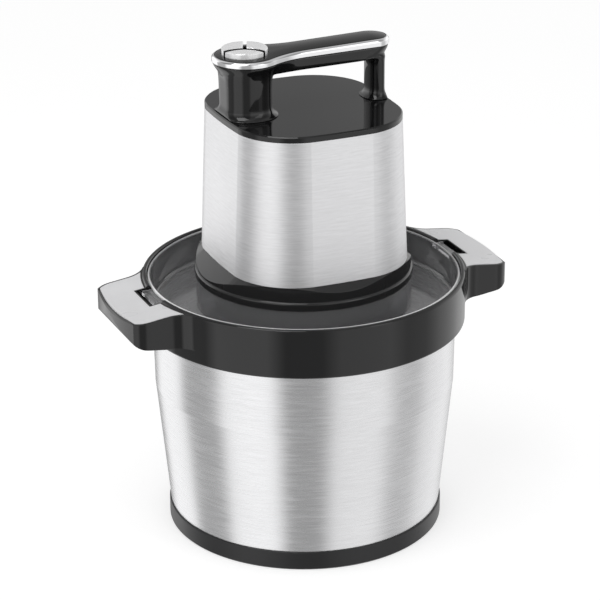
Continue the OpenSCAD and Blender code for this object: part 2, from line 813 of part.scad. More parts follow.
module handle_trim() {
  color(bright)
    difference() {
      union() {
        handle_layer(trim_z, trim_h - trim_bevel, 0, 0);
        handle_layer(trim_top - trim_bevel, trim_bevel, 0, trim_bevel);
      }
      handle_layer(trim_z - 1, trim_h + 2, trim_t, trim_t);
    }
}

module handle_cover() {
  color(gloss_black)
    difference() {
      union() {
        handle_layer(cover_z, trim_top - cover_z, trim_t + seat, trim_t + seat);
        handle_layer(trim_top, cover_top - trim_top, trim_t + seat, trim_t + 0.6);
      }
      translate([head_x, 0, cover_z - 1]) cylinder(r = key_group_r + 0.5, h = 6);
    }
}

// three snap switches on one small carrier under the keys
module switch_block() {
  color(soft_black)
    difference() {
      translate([head_x, 0, 0]) rotate(key_turn) {
        translate([0, 0, key_well_z + 0.05]) cylinder(r = switch_well_r - 0.4, h = 2.35);
        for (k = key_places)
          translate([k[0] - 3.8, k[1] - 3.2, key_well_z + 2.4]) cube([7.6, 6.4, 4]);
      }
      translate([head_x, 0, key_well_z - 1]) cylinder(r = 2.6, h = 3);
    }
}

// stems of the front, left and right keys, measured from the head's axis
key_places = [[0, -9.6], [-8, 5.4], [8, 5.4]];
lens_y = -31;
lens_r = 29;

// outline of one key: the front key is a lens, and a slot parts the two rear keys
module key_outline(k, flange = 0) {
  if (k == 0)
    intersection() {
      circle(key_group_r + flange);
      translate([0, lens_y]) circle(lens_r - 0.4);
    }
  else
    mirror([k == 1 ? 0 : 1, 0])
      difference() {
        intersection() {
          circle(key_group_r + flange);
          translate([-60, -30]) square([59.3, 90]);
        }
        translate([0, lens_y]) circle(lens_r + 0.4);
      }
}

// domed cap, a wider plate that the cover holds down, and the stem over the switch
module key(k) {
  dome_r = 58;
  top = cover_top + (k == 0 ? 2.6 : 3.8);
  p = key_places[k];
  color(bright)
    translate([head_x, 0, 0]) rotate(key_turn) {
      intersection() {
        translate([0, 0, key_plate_z + 2]) linear_extrude(20) key_outline(k);
        translate([0, 0, top - dome_r]) sphere(dome_r);
      }
      translate([0, 0, key_plate_z]) linear_extrude(2.1) key_outline(k, 1.5);
      translate([p[0], p[1], switch_top + key_travel + 0.2])
        cylinder(r = 1.5, h = key_plate_z - switch_top - key_travel);
    }
}

module front_key() {
  key(0);
}

module left_key() {
  key(1);
}

module right_key() {
  key(2);
}

// round-wire coil with flat-ended turns, as one ring of points swept along a helix
module coil(r, wire, h, turns) {
  steps = 14 * turns;
  sides = 6;
  points = [for (i = [0:steps]) let (a = 360 * turns * i / steps, z = wire + (h - 2 * wire) * i / steps)
    for (j = [0:sides - 1]) let (b = 360 * j / sides, q = r + wire * cos(b))
      [q * cos(a), q * sin(a), z + wire * sin(b)]];
  walls = [for (i = [0:steps - 1], j = [0:sides - 1])
    let (n = (j + 1) % sides) [i * sides + j, (i + 1) * sides + j, (i + 1) * sides + n, i * sides + n]];
  first = [for (j = [0:sides - 1]) j];
  last = [for (j = [sides - 1:-1:0]) steps * sides + j];
  polyhedron(points, concat([first], walls, [last]));
}

module key_spring(k) {
  color(steel)
    translate([head_x, 0, 0]) rotate(key_turn)
      translate([key_places[k][0], key_places[k][1], switch_top])
        coil(2.4, 0.3, key_plate_z - switch_top, 3);
}

module front_key_spring() {
  key_spring(0);
}

module left_key_spring() {
  key_spring(1);
}

module right_key_spring() {
  key_spring(2);
}

// round bush in the back of the sleeve where a lead would enter
module cord_inlet() {
  color(soft_black)
    translate([0, sleeve_half_y - 4, sleeve_z + 14])
      rotate([-90, 0, 0])
        rotate_extrude()
          polygon([[3.4, 0], [8, 0], [8, 2.2], [5.9, 2.2], [5.9, 5.2], [8, 5.2], [8, 6.4],
            [7, 7.4], [3.4, 7.4]]);
}

module output_bearing() {
  color(steel) tube(shaft_r + run, bearing_r, base_floor + 1.4, 5);
}

// fixed ring with inside teeth, open below for the carrier
module ring_gear() {
  rp = ring_teeth * gear_m / 2;
  color(nylon)
    difference() {
      translate([0, 0, box_z - 0.4]) cylinder(r = ring_r, h = box_top - box_z + 0.4);
      translate([0, 0, box_z - 1]) cylinder(r = rp + 2, h = gear_z - box_z + 0.6);
      translate([0, 0, box_z]) linear_extrude(60)
        rotate(180 / ring_teeth)
          polygon(gear_points(ring_teeth, rp - addendum, rp + dedendum, -gear_play));
    }
}

module gearbox_cover() {
  color(lamination)
    difference() {
      union() {
        translate([0, 0, box_top]) cylinder(r = stator_r + 1, h = cover_t);
        translate([0, 0, box_top]) cylinder(r = bearing_r + 3, h = cover_t + 4);
      }
      translate([0, 0, box_top - 1]) cylinder(r = 9.4, h = 10);
      translate([0, 0, box_top + 1.6]) cylinder(r = bearing_r + seat, h = 10);
      for (a = [45:90:315])
        rotate(a) translate([stator_r - 4.5, 0, box_top - 1]) cylinder(r = 2.05, h = 10);
    }
}

module lower_bearing() {
  color(steel) tube(4 + run, bearing_r, box_top + 1.6, 6);
}

// open cage that lifts the stator clear of the fan
module lower_bracket() {
  h = stator_z - bracket_z;
  color(lamination)
    difference() {
      tube(stator_r - 2.4, stator_r + 1, bracket_z, h);
      for (a = [0:45:315])
        rotate(a + 22.5) translate([stator_r - 8, -9, bracket_z + 5]) cube([20, 18, h - 10]);
    }
}

// stack of laminations with two poles, bored for the armature
module stator() {
  bore = armature_r + 0.6;
  far = 2 * stator_r;
  side = far * tan(36);
  color(lamination)
    translate([0, 0, stator_z])
      difference() {
        cylinder(r = stator_r, h = stator_h);
        translate([0, 0, -1]) cylinder(r = bore, h = stator_h + 2);
        for (a = [0, 180])
          rotate(a) {
            translate([0, 0, -1])
              linear_extrude(stator_h + 2)
                difference() {
                  circle(stator_r - 9);
                  circle(bore - 2);
                  polygon([[0, 0], [far, -side], [far, -far], [-far, -far], [-far, -side]]);
                  polygon([[0, 0], [far, side], [far, far], [-far, far], [-far, side]]);
                }
          }
        for (a = [45:90:315])
          rotate(a) translate([stator_r - 4.5, 0, -1]) cylinder(r = 2.2, h = stator_h + 2);
      }
}

// two copper windings in the side openings of the stator, with their end turns
module field_coils() {
  bore = armature_r + 2.2;
  span = 30;
  far = 1.5 * stator_r;
  color(copper)
    for (a = [0, 180])
      rotate(a)
        translate([0, 0, stator_z - 6])
          intersection() {
            difference() {
              cylinder(r = stator_r - 10, h = stator_h + 12);
              translate([0, 0, -1]) cylinder(r = bore, h = stator_h + 14);
            }
            linear_extrude(stator_h + 12)
              polygon([[0, 0], [far, -far * tan(span)], [far, far * tan(span)]]);
          }
}

// bridge over the commutator that holds the upper bearing and the brush holders
module upper_bracket() {
  color(lamination)
    difference() {
      union() {
        translate([0, 0, bridge_z])
          intersection() {
            cylinder(r = stator_r, h = 4);
            union() {
              for (a = [-45, 0, 45]) rotate(a) cube([14, 3 * stator_r, 20], center = true);
              cylinder(r = 17, h = 4);
            }
          }
        translate([0, 0, bridge_z - 5]) cylinder(r = bearing_r + 3, h = 9);
        for (a = [45:90:315])
          rotate(a) translate([stator_r - 4.5, 0, stator_top]) cylinder(r = 4.2, h = bridge_z - stator_top);
      }
      translate([0, 0, bridge_z - 6]) cylinder(r = bearing_r + seat, h = 8.4);
      translate([0, 0, bridge_z]) cylinder(r = 5, h = 10);
      for (a = [45:90:315])
        rotate(a) translate([stator_r - 4.5, 0, stator_top - 1]) cylinder(r = 2.05, h = 60);
    }
}

module upper_bearing() {
  color(steel) tube(4 + run, bearing_r, bridge_z - 5, bearing_h);
}

module motor_screws() {
  color(steel)
    for (a = [45:90:315])
      rotate(a) translate([stator_r - 4.5, 0, box_top + 0.4]) {
        cylinder(r = 2, h = bridge_z + 4 - box_top - 0.4);
        translate([0, 0, bridge_z + 4 - box_top - 0.4]) cylinder(r = 3.6, h = 2.6);
      }
}

module brush_holders() {
  z = brush_z;
  color(soft_black)
    for (a = [0, 180])
      rotate(a)
        difference() {
          union() {
            translate([16, -5.5, z - 5.5]) cube([20, 11, 11]);
            translate([17, -16, z + 5.5]) cube([12, 32, 3]);
            for (s = [-1, 1])
              translate([17, s * 13 - 3, z + 8]) cube([12, 6, bridge_z - z - 8]);
          }
          translate([15, -3.3, z - 3.3]) cube([22, 6.6, 6.6]);
        }
}

module carbon_brushes() {
  z = brush_z;
  color([0.16, 0.16, 0.17])
    for (a = [0, 180])
      rotate(a)
        difference() {
          translate([10, -3.2, z - 3.2]) cube([18, 6.4, 6.4]);
          cylinder(r = 12.3, h = 1000);
        }
}

// steel shaft, cut with the sun pinion at its lower end
module rotor_shaft() {
  color(bright) {
    translate([0, 0, gear_z - 0.2]) linear_extrude(gear_face + 0.4) gear_2d(sun_teeth, gear_play);
    translate([0, 0, gear_z + gear_face]) cylinder(r = 4, h = bridge_z + 2 - gear_z - gear_face);
    translate([0, 0, box_top + 7.8]) cylinder(r = 5.6, h = 2);
  }
}

// slotted armature pack
module armature() {
  slots = 12;
  color(lamination)
    difference() {
      tube(4 + seat, armature_r, stator_z, stator_h);
      for (i = [0:slots - 1])
        rotate(360 * i / slots) {
          translate([armature_r - 8, 0, stator_z - 1]) cylinder(r = 3, h = stator_h + 2);
          translate([armature_r - 8, -1, stator_z - 1]) cube([12, 2, stator_h + 2]);
        }
    }
}

// copper in the slots and the crowned end turns above and below
module armature_windings() {
  slots = 12;
  color(copper) {
    for (i = [0:slots - 1])
      rotate(360 * i / slots)
        translate([armature_r - 8, 0, stator_z - 1]) cylinder(r = 2.8, h = stator_h + 2);
    for (m = [0, 1])
      translate([0, 0, m == 0 ? stator_z : stator_top])
        mirror([0, 0, m == 0 ? 1 : 0])
          rotate_extrude()
            polygon(concat([[4 + seat, 0.1], [armature_r - 4.6, 0.1]],
              arc(armature_r - 8.6, 4, 4, 0, 90, 4), [[4 + seat, 8]]));
  }
}

module commutator() {
  bars = 24;
  color(copper)
    difference() {
      tube(4 + seat, 12, stator_top + 8.2, 12);
      for (i = [0:bars - 1])
        rotate(360 * i / bars) translate([11, -0.3, stator_top + 7]) cube([3, 0.6, 14]);
    }
}

// cooling fan with swept vanes on a disc
module fan() {
  z = bracket_z + 6;
  vanes = 11;
  color(soft_black) {
    tube(4 + seat, fan_r, z, 2);
    tube(4 + seat, 9, z, 10);
    for (i = [0:vanes - 1])
      rotate(360 * i / vanes)
        translate([0, 0, z + 1.5])
          intersection() {
            tube(13, fan_r - 0.5, 0, 7.5);
            translate([26, 24, 0]) tube(27.4, 29, 0, 7.5);
            translate([10, -40, 0]) cube([60, 45, 10]);
          }
  }
}

// carrier plate with three pins and the output shaft
module planet_carrier() {
  color(steel) {
    difference() {
      translate([0, 0, carrier_z]) cylinder(r = orbit_r + 7, h = carrier_t);
      for (a = [60:120:300])
        rotate(a) translate([orbit_r, 0, carrier_z - 1]) cylinder(r = 5, h = carrier_t + 2);
    }
    for (a = [0:120:240])
      rotate(a) translate([orbit_r, 0, carrier_z + carrier_t - 0.2]) {
        cylinder(r = planet_pin_r, h = gear_face + 1.4);
        cylinder(r = 5, h = 0.9);
      }
    translate([0, 0, socket_floor + 2]) cylinder(r = shaft_r, h = carrier_z - socket_floor - 1.8);
    translate([0, 0, carrier_z - 1.4]) cylinder(r = 8, h = 1.6);
  }
}

// lobed drive end, cross-pinned on the output shaft
module output_coupling() {
  z = socket_floor + 1;
  color(bright)
    translate([0, 0, z])
      difference() {
        union() {
          linear_extrude(socket_top - z) drive_star();
          translate([0, 0, socket_top - z - 0.1]) cylinder(r = 7, h = base_floor - socket_top - 0.6);
        }
        translate([0, 0, 1]) cylinder(r = shaft_r + seat, h = 60);
      }
}

// place k of three planets round the sun, each with a tooth space towards the axis
module planet_gear(k) {
  color(nylon)
    rotate(120 * (k - 1)) translate([orbit_r, 0, gear_z])
      difference() {
        linear_extrude(gear_face) rotate(180 / planet_teeth) gear_2d(planet_teeth, gear_play);
        translate([0, 0, -1]) cylinder(r = planet_pin_r + run, h = gear_face + 2);
      }
}

module planet_gear_1() {
  planet_gear(1);
}

module planet_gear_2() {
  planet_gear(2);
}

module planet_gear_3() {
  planet_gear(3);
}

base_ring();
bowl();
bowl_collar();
left_grip_inlay();
right_grip_inlay();
spindle_pin();
spindle_washer();
spindle_nut();
pin_sleeve();
blade_hub();
lower_blade();
blade_spacer();
upper_blade();
blade_nut();
drive_socket();
lid();
lid_seal();
shaft_seal();
motor_base();
housing_sleeve();
top_cap();
tie_rods();
handle_body();
handle_trim();
handle_cover();
switch_block();
front_key();
left_key();
right_key();
front_key_spring();
left_key_spring();
right_key_spring();
cord_inlet();
output_bearing();
ring_gear();
gearbox_cover();
lower_bearing();
lower_bracket();
stator();
field_coils();
upper_bracket();
upper_bearing();
motor_screws();
brush_holders();
carbon_brushes();
rotor_shaft();
armature();
armature_windings();
commutator();
fan();
planet_carrier();
output_coupling();
planet_gear_1();
planet_gear_2();
planet_gear_3();
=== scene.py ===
import logging
import math
from dataclasses import dataclass, field
from enum import Enum
from functools import cache
from typing import ClassVar

import bmesh
import bpy
from mathutils import Matrix, Vector


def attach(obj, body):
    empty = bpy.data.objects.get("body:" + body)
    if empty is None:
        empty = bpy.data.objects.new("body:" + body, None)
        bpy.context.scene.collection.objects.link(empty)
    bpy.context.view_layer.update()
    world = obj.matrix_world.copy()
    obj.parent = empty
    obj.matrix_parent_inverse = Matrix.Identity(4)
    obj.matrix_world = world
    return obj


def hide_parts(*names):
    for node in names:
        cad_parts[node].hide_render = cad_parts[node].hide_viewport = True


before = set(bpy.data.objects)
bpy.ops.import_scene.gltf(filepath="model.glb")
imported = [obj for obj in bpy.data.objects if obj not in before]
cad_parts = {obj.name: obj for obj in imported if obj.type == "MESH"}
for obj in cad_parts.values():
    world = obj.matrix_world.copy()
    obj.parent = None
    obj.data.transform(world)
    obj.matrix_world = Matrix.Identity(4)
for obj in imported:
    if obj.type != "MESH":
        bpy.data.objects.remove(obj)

LOG = logging.getLogger("chopper")
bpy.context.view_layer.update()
MM = 0.001

Color = tuple[float, float, float]
Point = tuple[float, float, float]
Spot = tuple[float, float]
Table = tuple[Spot, ...]
Loop = list[Point]


class Graph:
    """A node tree that is filled in from left to right."""

    NOISE_RANGE = (0.3, 0.7)
    NODE_WIDTH = 220

    def __init__(self, tree: bpy.types.NodeTree) -> None:
        """Empties the tree.

        Args:
            tree: the node tree of a material or of the world.
        """
        self.tree = tree
        tree.nodes.clear()

    def add(self, kind: str, **values: object) -> bpy.types.Node:
        """Adds one node.

        Args:
            kind: the node's type name, without the "ShaderNode" in front.
            values: properties of the node, or values of its input sockets.

        Returns:
            The new node.
        """
        node = self.tree.nodes.new("ShaderNode" + kind)
        node.location = (self.NODE_WIDTH * len(self.tree.nodes), 0)
        for name, value in values.items():
            if hasattr(node, name):
                setattr(node, name, value)
            else:
                node.inputs[name.replace("_", " ")].default_value = value
        return node

    def link(self, out: bpy.types.NodeSocket, into: bpy.types.NodeSocket) -> None:
        """Joins an output socket to an input socket."""
        self.tree.links.new(out, into)

    def math(self, operation: str, a: object, b: object = 0.0, clamp: bool = False) -> bpy.types.NodeSocket:
        """Adds a Math node.

        Args:
            operation: the operation's name.
            a: the first socket or number.
            b: the second socket or number.
            clamp: whether the result is held between 0 and 1.

        Returns:
            The socket with the result.
        """
        node = self.add("Math", operation=operation, use_clamp=clamp)
        for slot, value in enumerate((a, b)):
            if isinstance(value, bpy.types.NodeSocket):
                self.link(value, node.inputs[slot])
            else:
                node.inputs[slot].default_value = value
        return node.outputs[0]

    def place(self, scale: Point = (1.0, 1.0, 1.0)) -> bpy.types.NodeSocket:
        """Object coordinates in metres, stretched along each axis.

        Args:
            scale: how many units of the pattern there are in a metre, along X, Y and Z.

        Returns:
            The socket with the coordinates.
        """
        where = self.add("TexCoord")
        stretch = self.add("Mapping", vector_type="POINT")
        stretch.inputs["Scale"].default_value = scale
        self.link(where.outputs["Object"], stretch.inputs["Vector"])
        return stretch.outputs["Vector"]

    def even_noise(self, scale: float, detail: float = 2.0) -> bpy.types.NodeSocket:
        """Noise with the same scale along all three axes."""
        return self.noise((scale, scale, scale), detail)

    def noise(self, scale: Point, detail: float = 2.0) -> bpy.types.NodeSocket:
        """Noise over the piece, from 0 to 1.

        Args:
            scale: the pattern's units in a metre, along X, Y and Z.
            detail: how many finer layers are added.

        Returns:
            The socket with the noise.
        """
        cloud = self.add("TexNoise", Scale=1.0, Detail=detail, Roughness=0.55)
        self.link(self.place(scale), cloud.inputs["Vector"])
        return cloud.outputs["Fac"]

    def between(self, source: bpy.types.NodeSocket, low: float, high: float) -> bpy.types.NodeSocket:
        """Spreads a noise's middle range over other values.

        Args:
            source: the noise.
            low: the value at the noise's lower end.
            high: the value at its upper end.

        Returns:
            The socket with the new value.
        """
        ranged = self.add("MapRange", clamp=True)
        self.link(source, ranged.inputs["Value"])
        first, last = self.NOISE_RANGE
        for name, value in (("From Min", first), ("From Max", last), ("To Min", low), ("To Max", high)):
            ranged.inputs[name].default_value = value
        return ranged.outputs["Result"]

    def blend(self, first: bpy.types.NodeSocket, second: bpy.types.NodeSocket,
              share: float) -> bpy.types.NodeSocket:
        """Adds two patterns, the first with a share and the second with the rest."""
        return self.math("ADD", self.math("MULTIPLY", first, share), self.math("MULTIPLY", second, 1 - share))

    def tint(self, source: bpy.types.NodeSocket, low: Color, high: Color) -> bpy.types.NodeSocket:
        """Mixes two colours by a value.

        Args:
            source: 0 for the first colour and 1 for the second.
            low: the first colour.
            high: the second colour.

        Returns:
            The socket with the colour.
        """
        mix = self.add("Mix", data_type="RGBA")
        self.link(source, mix.inputs["Factor"])
        for name, color in (("A", low), ("B", high)):
            socket = next(s for s in mix.inputs if s.name == name and s.type == "RGBA")
            socket.default_value = (*color, 1.0)
        return next(s for s in mix.outputs if s.type == "RGBA")


def shade(color: Color, factor: float) -> Color:
    """A colour made lighter or darker, with each channel held at 1."""
    return tuple(min(1.0, channel * factor) for channel in color)


class Finish:
    """What all finishes share: a named material with one Principled shader."""

    name: str

    @cache
    def material(self) -> bpy.types.Material:
        """Makes the material once, and returns the same one after that.

        Returns:
            The material, with its Principled shader joined and filled in.
        """
        made = bpy.data.materials.new(self.name)
        made.use_nodes = True
        graph = Graph(made.node_tree)
        shader = graph.add("BsdfPrincipled")
        out = graph.add("OutputMaterial")
        graph.link(shader.outputs[0], out.inputs[0])
        self.fill(graph, shader)
        return made

    def fill(self, graph: Graph, shader: bpy.types.Node) -> None:
        """Sets the shader's values and patterns."""
        raise NotImplementedError

    @staticmethod
    def vary_color(graph: Graph, shader: bpy.types.Node, source: bpy.types.NodeSocket, color: Color,
               spread: Spot) -> None:
        """Lets the colour vary with a pattern.

        Args:
            graph: the material's graph.
            shader: its Principled shader.
            source: the pattern.
            color: the middle colour.
            spread: how much darker and how much lighter it gets, as shares.
        """
        darker, lighter = spread
        tone = graph.tint(source, shade(color, 1 - darker), shade(color, 1 + lighter))
        graph.link(tone, shader.inputs["Base Color"])

    @staticmethod
    def vary_roughness(graph: Graph, shader: bpy.types.Node, source: bpy.types.NodeSocket, low: float,
                high: float) -> None:
        """Lets the roughness vary between two values with a noise."""
        graph.link(graph.between(source, low, high), shader.inputs["Roughness"])

    def relief(self, graph: Graph, shader: bpy.types.Node, height: bpy.types.NodeSocket,
               strength: float, depth: float, edge: float = 0.0) -> None:
        """Adds bump, and softens the light on edges.

        Args:
            graph: the material's graph.
            shader: its Principled shader.
            height: the height pattern.
            strength: how much of the bump shows.
            depth: the height of the pattern in metres.
            edge: radius in metres at which edges catch the light.
        """
        bump = graph.add("Bump", Strength=strength, Distance=depth)
        graph.link(height, bump.inputs["Height"])
        if edge:
            rounded = graph.add("Bevel", samples=4, Radius=edge)
            graph.link(rounded.outputs[0], bump.inputs["Normal"])
        graph.link(bump.outputs[0], shader.inputs["Normal"])


@dataclass(frozen=True)
class BrushedSteel(Finish):
    """Sheet steel brushed along level lines."""

    name: str
    color: Color = (0.78, 0.78, 0.79)
    roughness: float = 0.27
    anisotropy: float = 0.6
    line_length: float = 0.022
    line_height: float = 0.0011
    contrast: float = 0.10
    coarse_share: float = 0.65
    patch_size: float = 1 / 14
    rough_spread: float = 0.05
    rough_drift: float = 0.02
    line_depth: float = 0.00004
    edge: float = 0.0003

    def fill(self, graph: Graph, shader: bpy.types.Node) -> None:
        """Sets the shader's values and patterns."""
        along, across = 1 / self.line_length, 1 / self.line_height
        lines = graph.noise((along, along, across), 3.0)
        fine = graph.noise((3 * along, 3 * along, 4 * across), 2.0)
        drift = graph.even_noise(1 / self.patch_size, 1.0)
        both = graph.blend(lines, fine, self.coarse_share)
        self.vary_color(graph, shader, graph.between(both, 0.0, 1.0), self.color, (self.contrast, self.contrast))
        near = graph.between(lines, self.roughness - self.rough_spread, self.roughness + self.rough_spread)
        far = graph.between(drift, -self.rough_drift, self.rough_drift)
        graph.link(graph.math("ADD", near, far), shader.inputs["Roughness"])
        shader.inputs["Metallic"].default_value = 1.0
        shader.inputs["Anisotropic"].default_value = self.anisotropy
        shader.inputs["Anisotropic Rotation"].default_value = 0.25
        tangent = graph.add("Tangent", direction_type="RADIAL", axis="Z")
        graph.link(tangent.outputs[0], shader.inputs["Tangent"])
        self.relief(graph, shader, both, 0.12, self.line_depth, self.edge)


@dataclass(frozen=True)
class Polished(Finish):
    """Bright plated or polished metal with a faint haze."""

    name: str
    color: Color = (0.80, 0.80, 0.81)
    roughness: float = 0.08
    edge: float = 0.0006
    metallic: float = 1.0
    haze: float = 90.0
    ripple: float = 400.0

    def fill(self, graph: Graph, shader: bpy.types.Node) -> None:
        """Sets the shader's values and patterns."""
        haze = graph.even_noise(self.haze, 3.0)
        self.vary_color(graph, shader, haze, self.color, (0.05, 0.03))
        self.vary_roughness(graph, shader, haze, self.roughness * 0.7, self.roughness * 1.3)
        shader.inputs["Metallic"].default_value = self.metallic
        self.relief(graph, shader, graph.even_noise(self.ripple, 1.0), 0.05, 0.00002, self.edge)


@dataclass(frozen=True)
class Moulded(Finish):
    """Moulded plastic or rubber, from high gloss to matt."""

    name: str
    color: Color
    roughness: float
    gloss: float = 0.5
    grain: float = 500.0
    grain_depth: float = 0.00002
    edge: float = 0.0005
    patches: float = 22.0

    def fill(self, graph: Graph, shader: bpy.types.Node) -> None:
        """Sets the shader's values and patterns."""
        patch = graph.even_noise(self.patches)
        self.vary_color(graph, shader, patch, self.color, (0.1, 0.1))
        self.vary_roughness(graph, shader, patch, self.roughness * 0.85, self.roughness * 1.15)
        shader.inputs["Specular IOR Level"].default_value = self.gloss
        self.relief(graph, shader, graph.even_noise(self.grain), 0.15, self.grain_depth, self.edge)


@dataclass(frozen=True)
class Smoked(Finish):
    """Clear plastic with a smoky tint."""

    name: str
    color: Color = (0.62, 0.62, 0.63)
    clearness: float = 0.80
    roughness: float = 0.03
    refraction: float = 1.49
    clouds: float = 30.0
    waves: float = 120.0

    def fill(self, graph: Graph, shader: bpy.types.Node) -> None:
        """Sets the shader's values and patterns."""
        cloud = graph.even_noise(self.clouds)
        self.vary_color(graph, shader, cloud, self.color, (0.06, 0.06))
        self.vary_roughness(graph, shader, cloud, self.roughness * 0.7, self.roughness * 1.4)
        shader.inputs["Transmission Weight"].default_value = self.clearness
        shader.inputs["IOR"].default_value = self.refraction
        self.relief(graph, shader, graph.even_noise(self.waves, 1.0), 0.04, 0.00002)


@dataclass(frozen=True)
class Layered(Finish):
    """Metal with marks that repeat up the piece, such as stacked sheets or wound wire."""

    name: str
    color: Color
    pitch: float
    roughness: float = 0.4
    metallic: float = 1.0
    contrast: float = 0.2
    rough_spread: float = 0.08
    haze: float = 80.0
    WAVE_UNIT: ClassVar[float] = 3.2

    def fill(self, graph: Graph, shader: bpy.types.Node) -> None:
        """Sets the shader's values and patterns."""
        wave = graph.add("TexWave", wave_type="BANDS", bands_direction="Z", Scale=1.0, Distortion=0.4)
        turns = 1 / (self.pitch * self.WAVE_UNIT)
        graph.link(graph.place((turns, turns, turns)), wave.inputs["Vector"])
        self.vary_color(graph, shader, wave.outputs["Fac"], self.color, (self.contrast, self.contrast))
        low, high = self.roughness - self.rough_spread, self.roughness + self.rough_spread
        self.vary_roughness(graph, shader, graph.even_noise(self.haze), low, high)
        shader.inputs["Metallic"].default_value = self.metallic
        self.relief(graph, shader, wave.outputs["Fac"], 0.3, self.pitch / 4)


class Ends(Enum):
    """How the two ends of a row of loops are finished."""

    CAPPED = "NGON"
    JOINED = "NOTHING"


def arc(x: float, y: float, radius: float, start: float, end: float, steps: int) -> list[Spot]:
    """Points on an arc, with both ends.

    Args:
        x: the middle's place along X.
        y: the middle's place along Y.
        radius: the radius.
        start: the first angle in degrees.
        end: the last angle in degrees.
        steps: how many steps there are between them.

    Returns:
        The points in order.
    """
    turns = [math.radians(start + (end - start) * i / steps) for i in range(steps + 1)]
    return [(x + radius * math.cos(t), y + radius * math.sin(t)) for t in turns]


def straight(start: Spot, end: Spot, steps: int) -> list[Spot]:
    """Evenly spaced points on a straight line, with both ends."""
    return [(start[0] + (end[0] - start[0]) * i / steps, start[1] + (end[1] - start[1]) * i / steps)
            for i in range(steps + 1)]


def hold(value: float) -> float:
    """Keeps a value between 0 and 1."""
    return min(1.0, max(0.0, value))


def ease(value: float, low: float, high: float) -> float:
    """Rises smoothly from 0 at low to 1 at high."""
    t = hold((value - low) / (high - low))
    return t * t * (3 - 2 * t)


def pick(value: float, table: Table) -> float:
    """Reads a value between the rows of a table.

    Args:
        value: where to read.
        table: rows of place and value, by rising place.

    Returns:
        The value there, and the first or last one beyond the table.
    """
    for (x0, y0), (x1, y1) in zip(table, table[1:]):
        if value <= x1:
            return y0 + (y1 - y0) * max(0.0, value - x0) / (x1 - x0)
    return table[-1][1]


class Former:
    """Shapes primitives in edit mode, ring by ring."""

    MERGE = 0.0000005

    @staticmethod
    def put(piece: bpy.types.Object, loop: Loop, first: bool = False) -> None:
        """Moves the selected ring to a loop of points.

        Args:
            piece: the piece in edit mode.
            loop: the points in millimetres.
            first: whether the ring is the primitive's own.
        """
        mesh = bmesh.from_edit_mesh(piece.data)
        layer = mesh.verts.layers.int.get("place") or mesh.verts.layers.int.new("place")
        for index, vert in enumerate(mesh.verts):
            if first:
                vert[layer] = index
            if first or vert.select:
                vert.co = Vector(loop[vert[layer]]) * MM
        bmesh.update_edit_mesh(piece.data)

    @classmethod
    def skin(cls, name: str, loops: list[Loop], ends: Ends = Ends.CAPPED) -> bpy.types.Object:
        """Extrudes a circle through loops of equally many points.

        Args:
            name: the piece's name.
            loops: the loops in millimetres.
            ends: whether the ends are capped or joined to each other.

        Returns:
            The closed piece.
        """
        bpy.ops.object.select_all(action="DESELECT")
        bpy.ops.mesh.primitive_circle_add(vertices=len(loops[0]), radius=0.01, fill_type=ends.value,
                                          enter_editmode=True, location=(0.0, 0.0, 0.0))
        piece = bpy.context.object
        piece.name = name
        cls.put(piece, loops[0], True)
        rest = loops[1:] + (loops[:1] if ends is Ends.JOINED else [])
        for loop in rest:
            bpy.ops.mesh.extrude_region_move()
            cls.put(piece, loop)
        bpy.ops.mesh.select_all(action="SELECT")
        bpy.ops.mesh.remove_doubles(threshold=cls.MERGE)
        bpy.ops.mesh.normals_make_consistent(inside=False)
        bpy.ops.object.mode_set(mode="OBJECT")
        piece.data.attributes.remove(piece.data.attributes["place"])
        cls.smooth(piece, 30.0)
        return piece

    @staticmethod
    def smooth(piece: bpy.types.Object, corner: float) -> None:
        """Shades a piece smooth, but for corners sharper than an angle in degrees."""
        bpy.ops.object.select_all(action="DESELECT")
        piece.select_set(True)
        bpy.context.view_layer.objects.active = piece
        bpy.ops.object.shade_smooth_by_angle(angle=math.radians(corner))

    @staticmethod
    def cut(piece: bpy.types.Object, tool: bpy.types.Object) -> None:
        """Cuts a tool's shape out of a piece and removes the tool."""
        bpy.context.view_layer.objects.active = piece
        cutter = piece.modifiers.new("cut", "BOOLEAN")
        cutter.operation = "DIFFERENCE"
        cutter.solver = "EXACT"
        cutter.object = tool
        bpy.ops.object.modifier_apply(modifier="cut")
        bpy.data.objects.remove(tool)

    @staticmethod
    def melt(parts: list[bpy.types.Object], name: str, grain: float, rounds: int) -> bpy.types.Object:
        """Joins overlapping parts into one skin with soft inner corners.

        Args:
            parts: the parts.
            name: the name of the whole.
            grain: size of the new mesh in millimetres.
            rounds: how often it is smoothed.

        Returns:
            The whole.
        """
        bpy.ops.object.select_all(action="DESELECT")
        for part in parts:
            part.select_set(True)
        bpy.context.view_layer.objects.active = parts[0]
        bpy.ops.object.join()
        whole = bpy.context.object
        whole.name = name
        skin = whole.modifiers.new("skin", "REMESH")
        skin.mode = "VOXEL"
        skin.voxel_size = grain * MM
        bpy.ops.object.modifier_apply(modifier="skin")
        soft = whole.modifiers.new("soft", "SMOOTH")
        soft.factor = 0.5
        soft.iterations = rounds
        bpy.ops.object.modifier_apply(modifier="soft")
        return whole


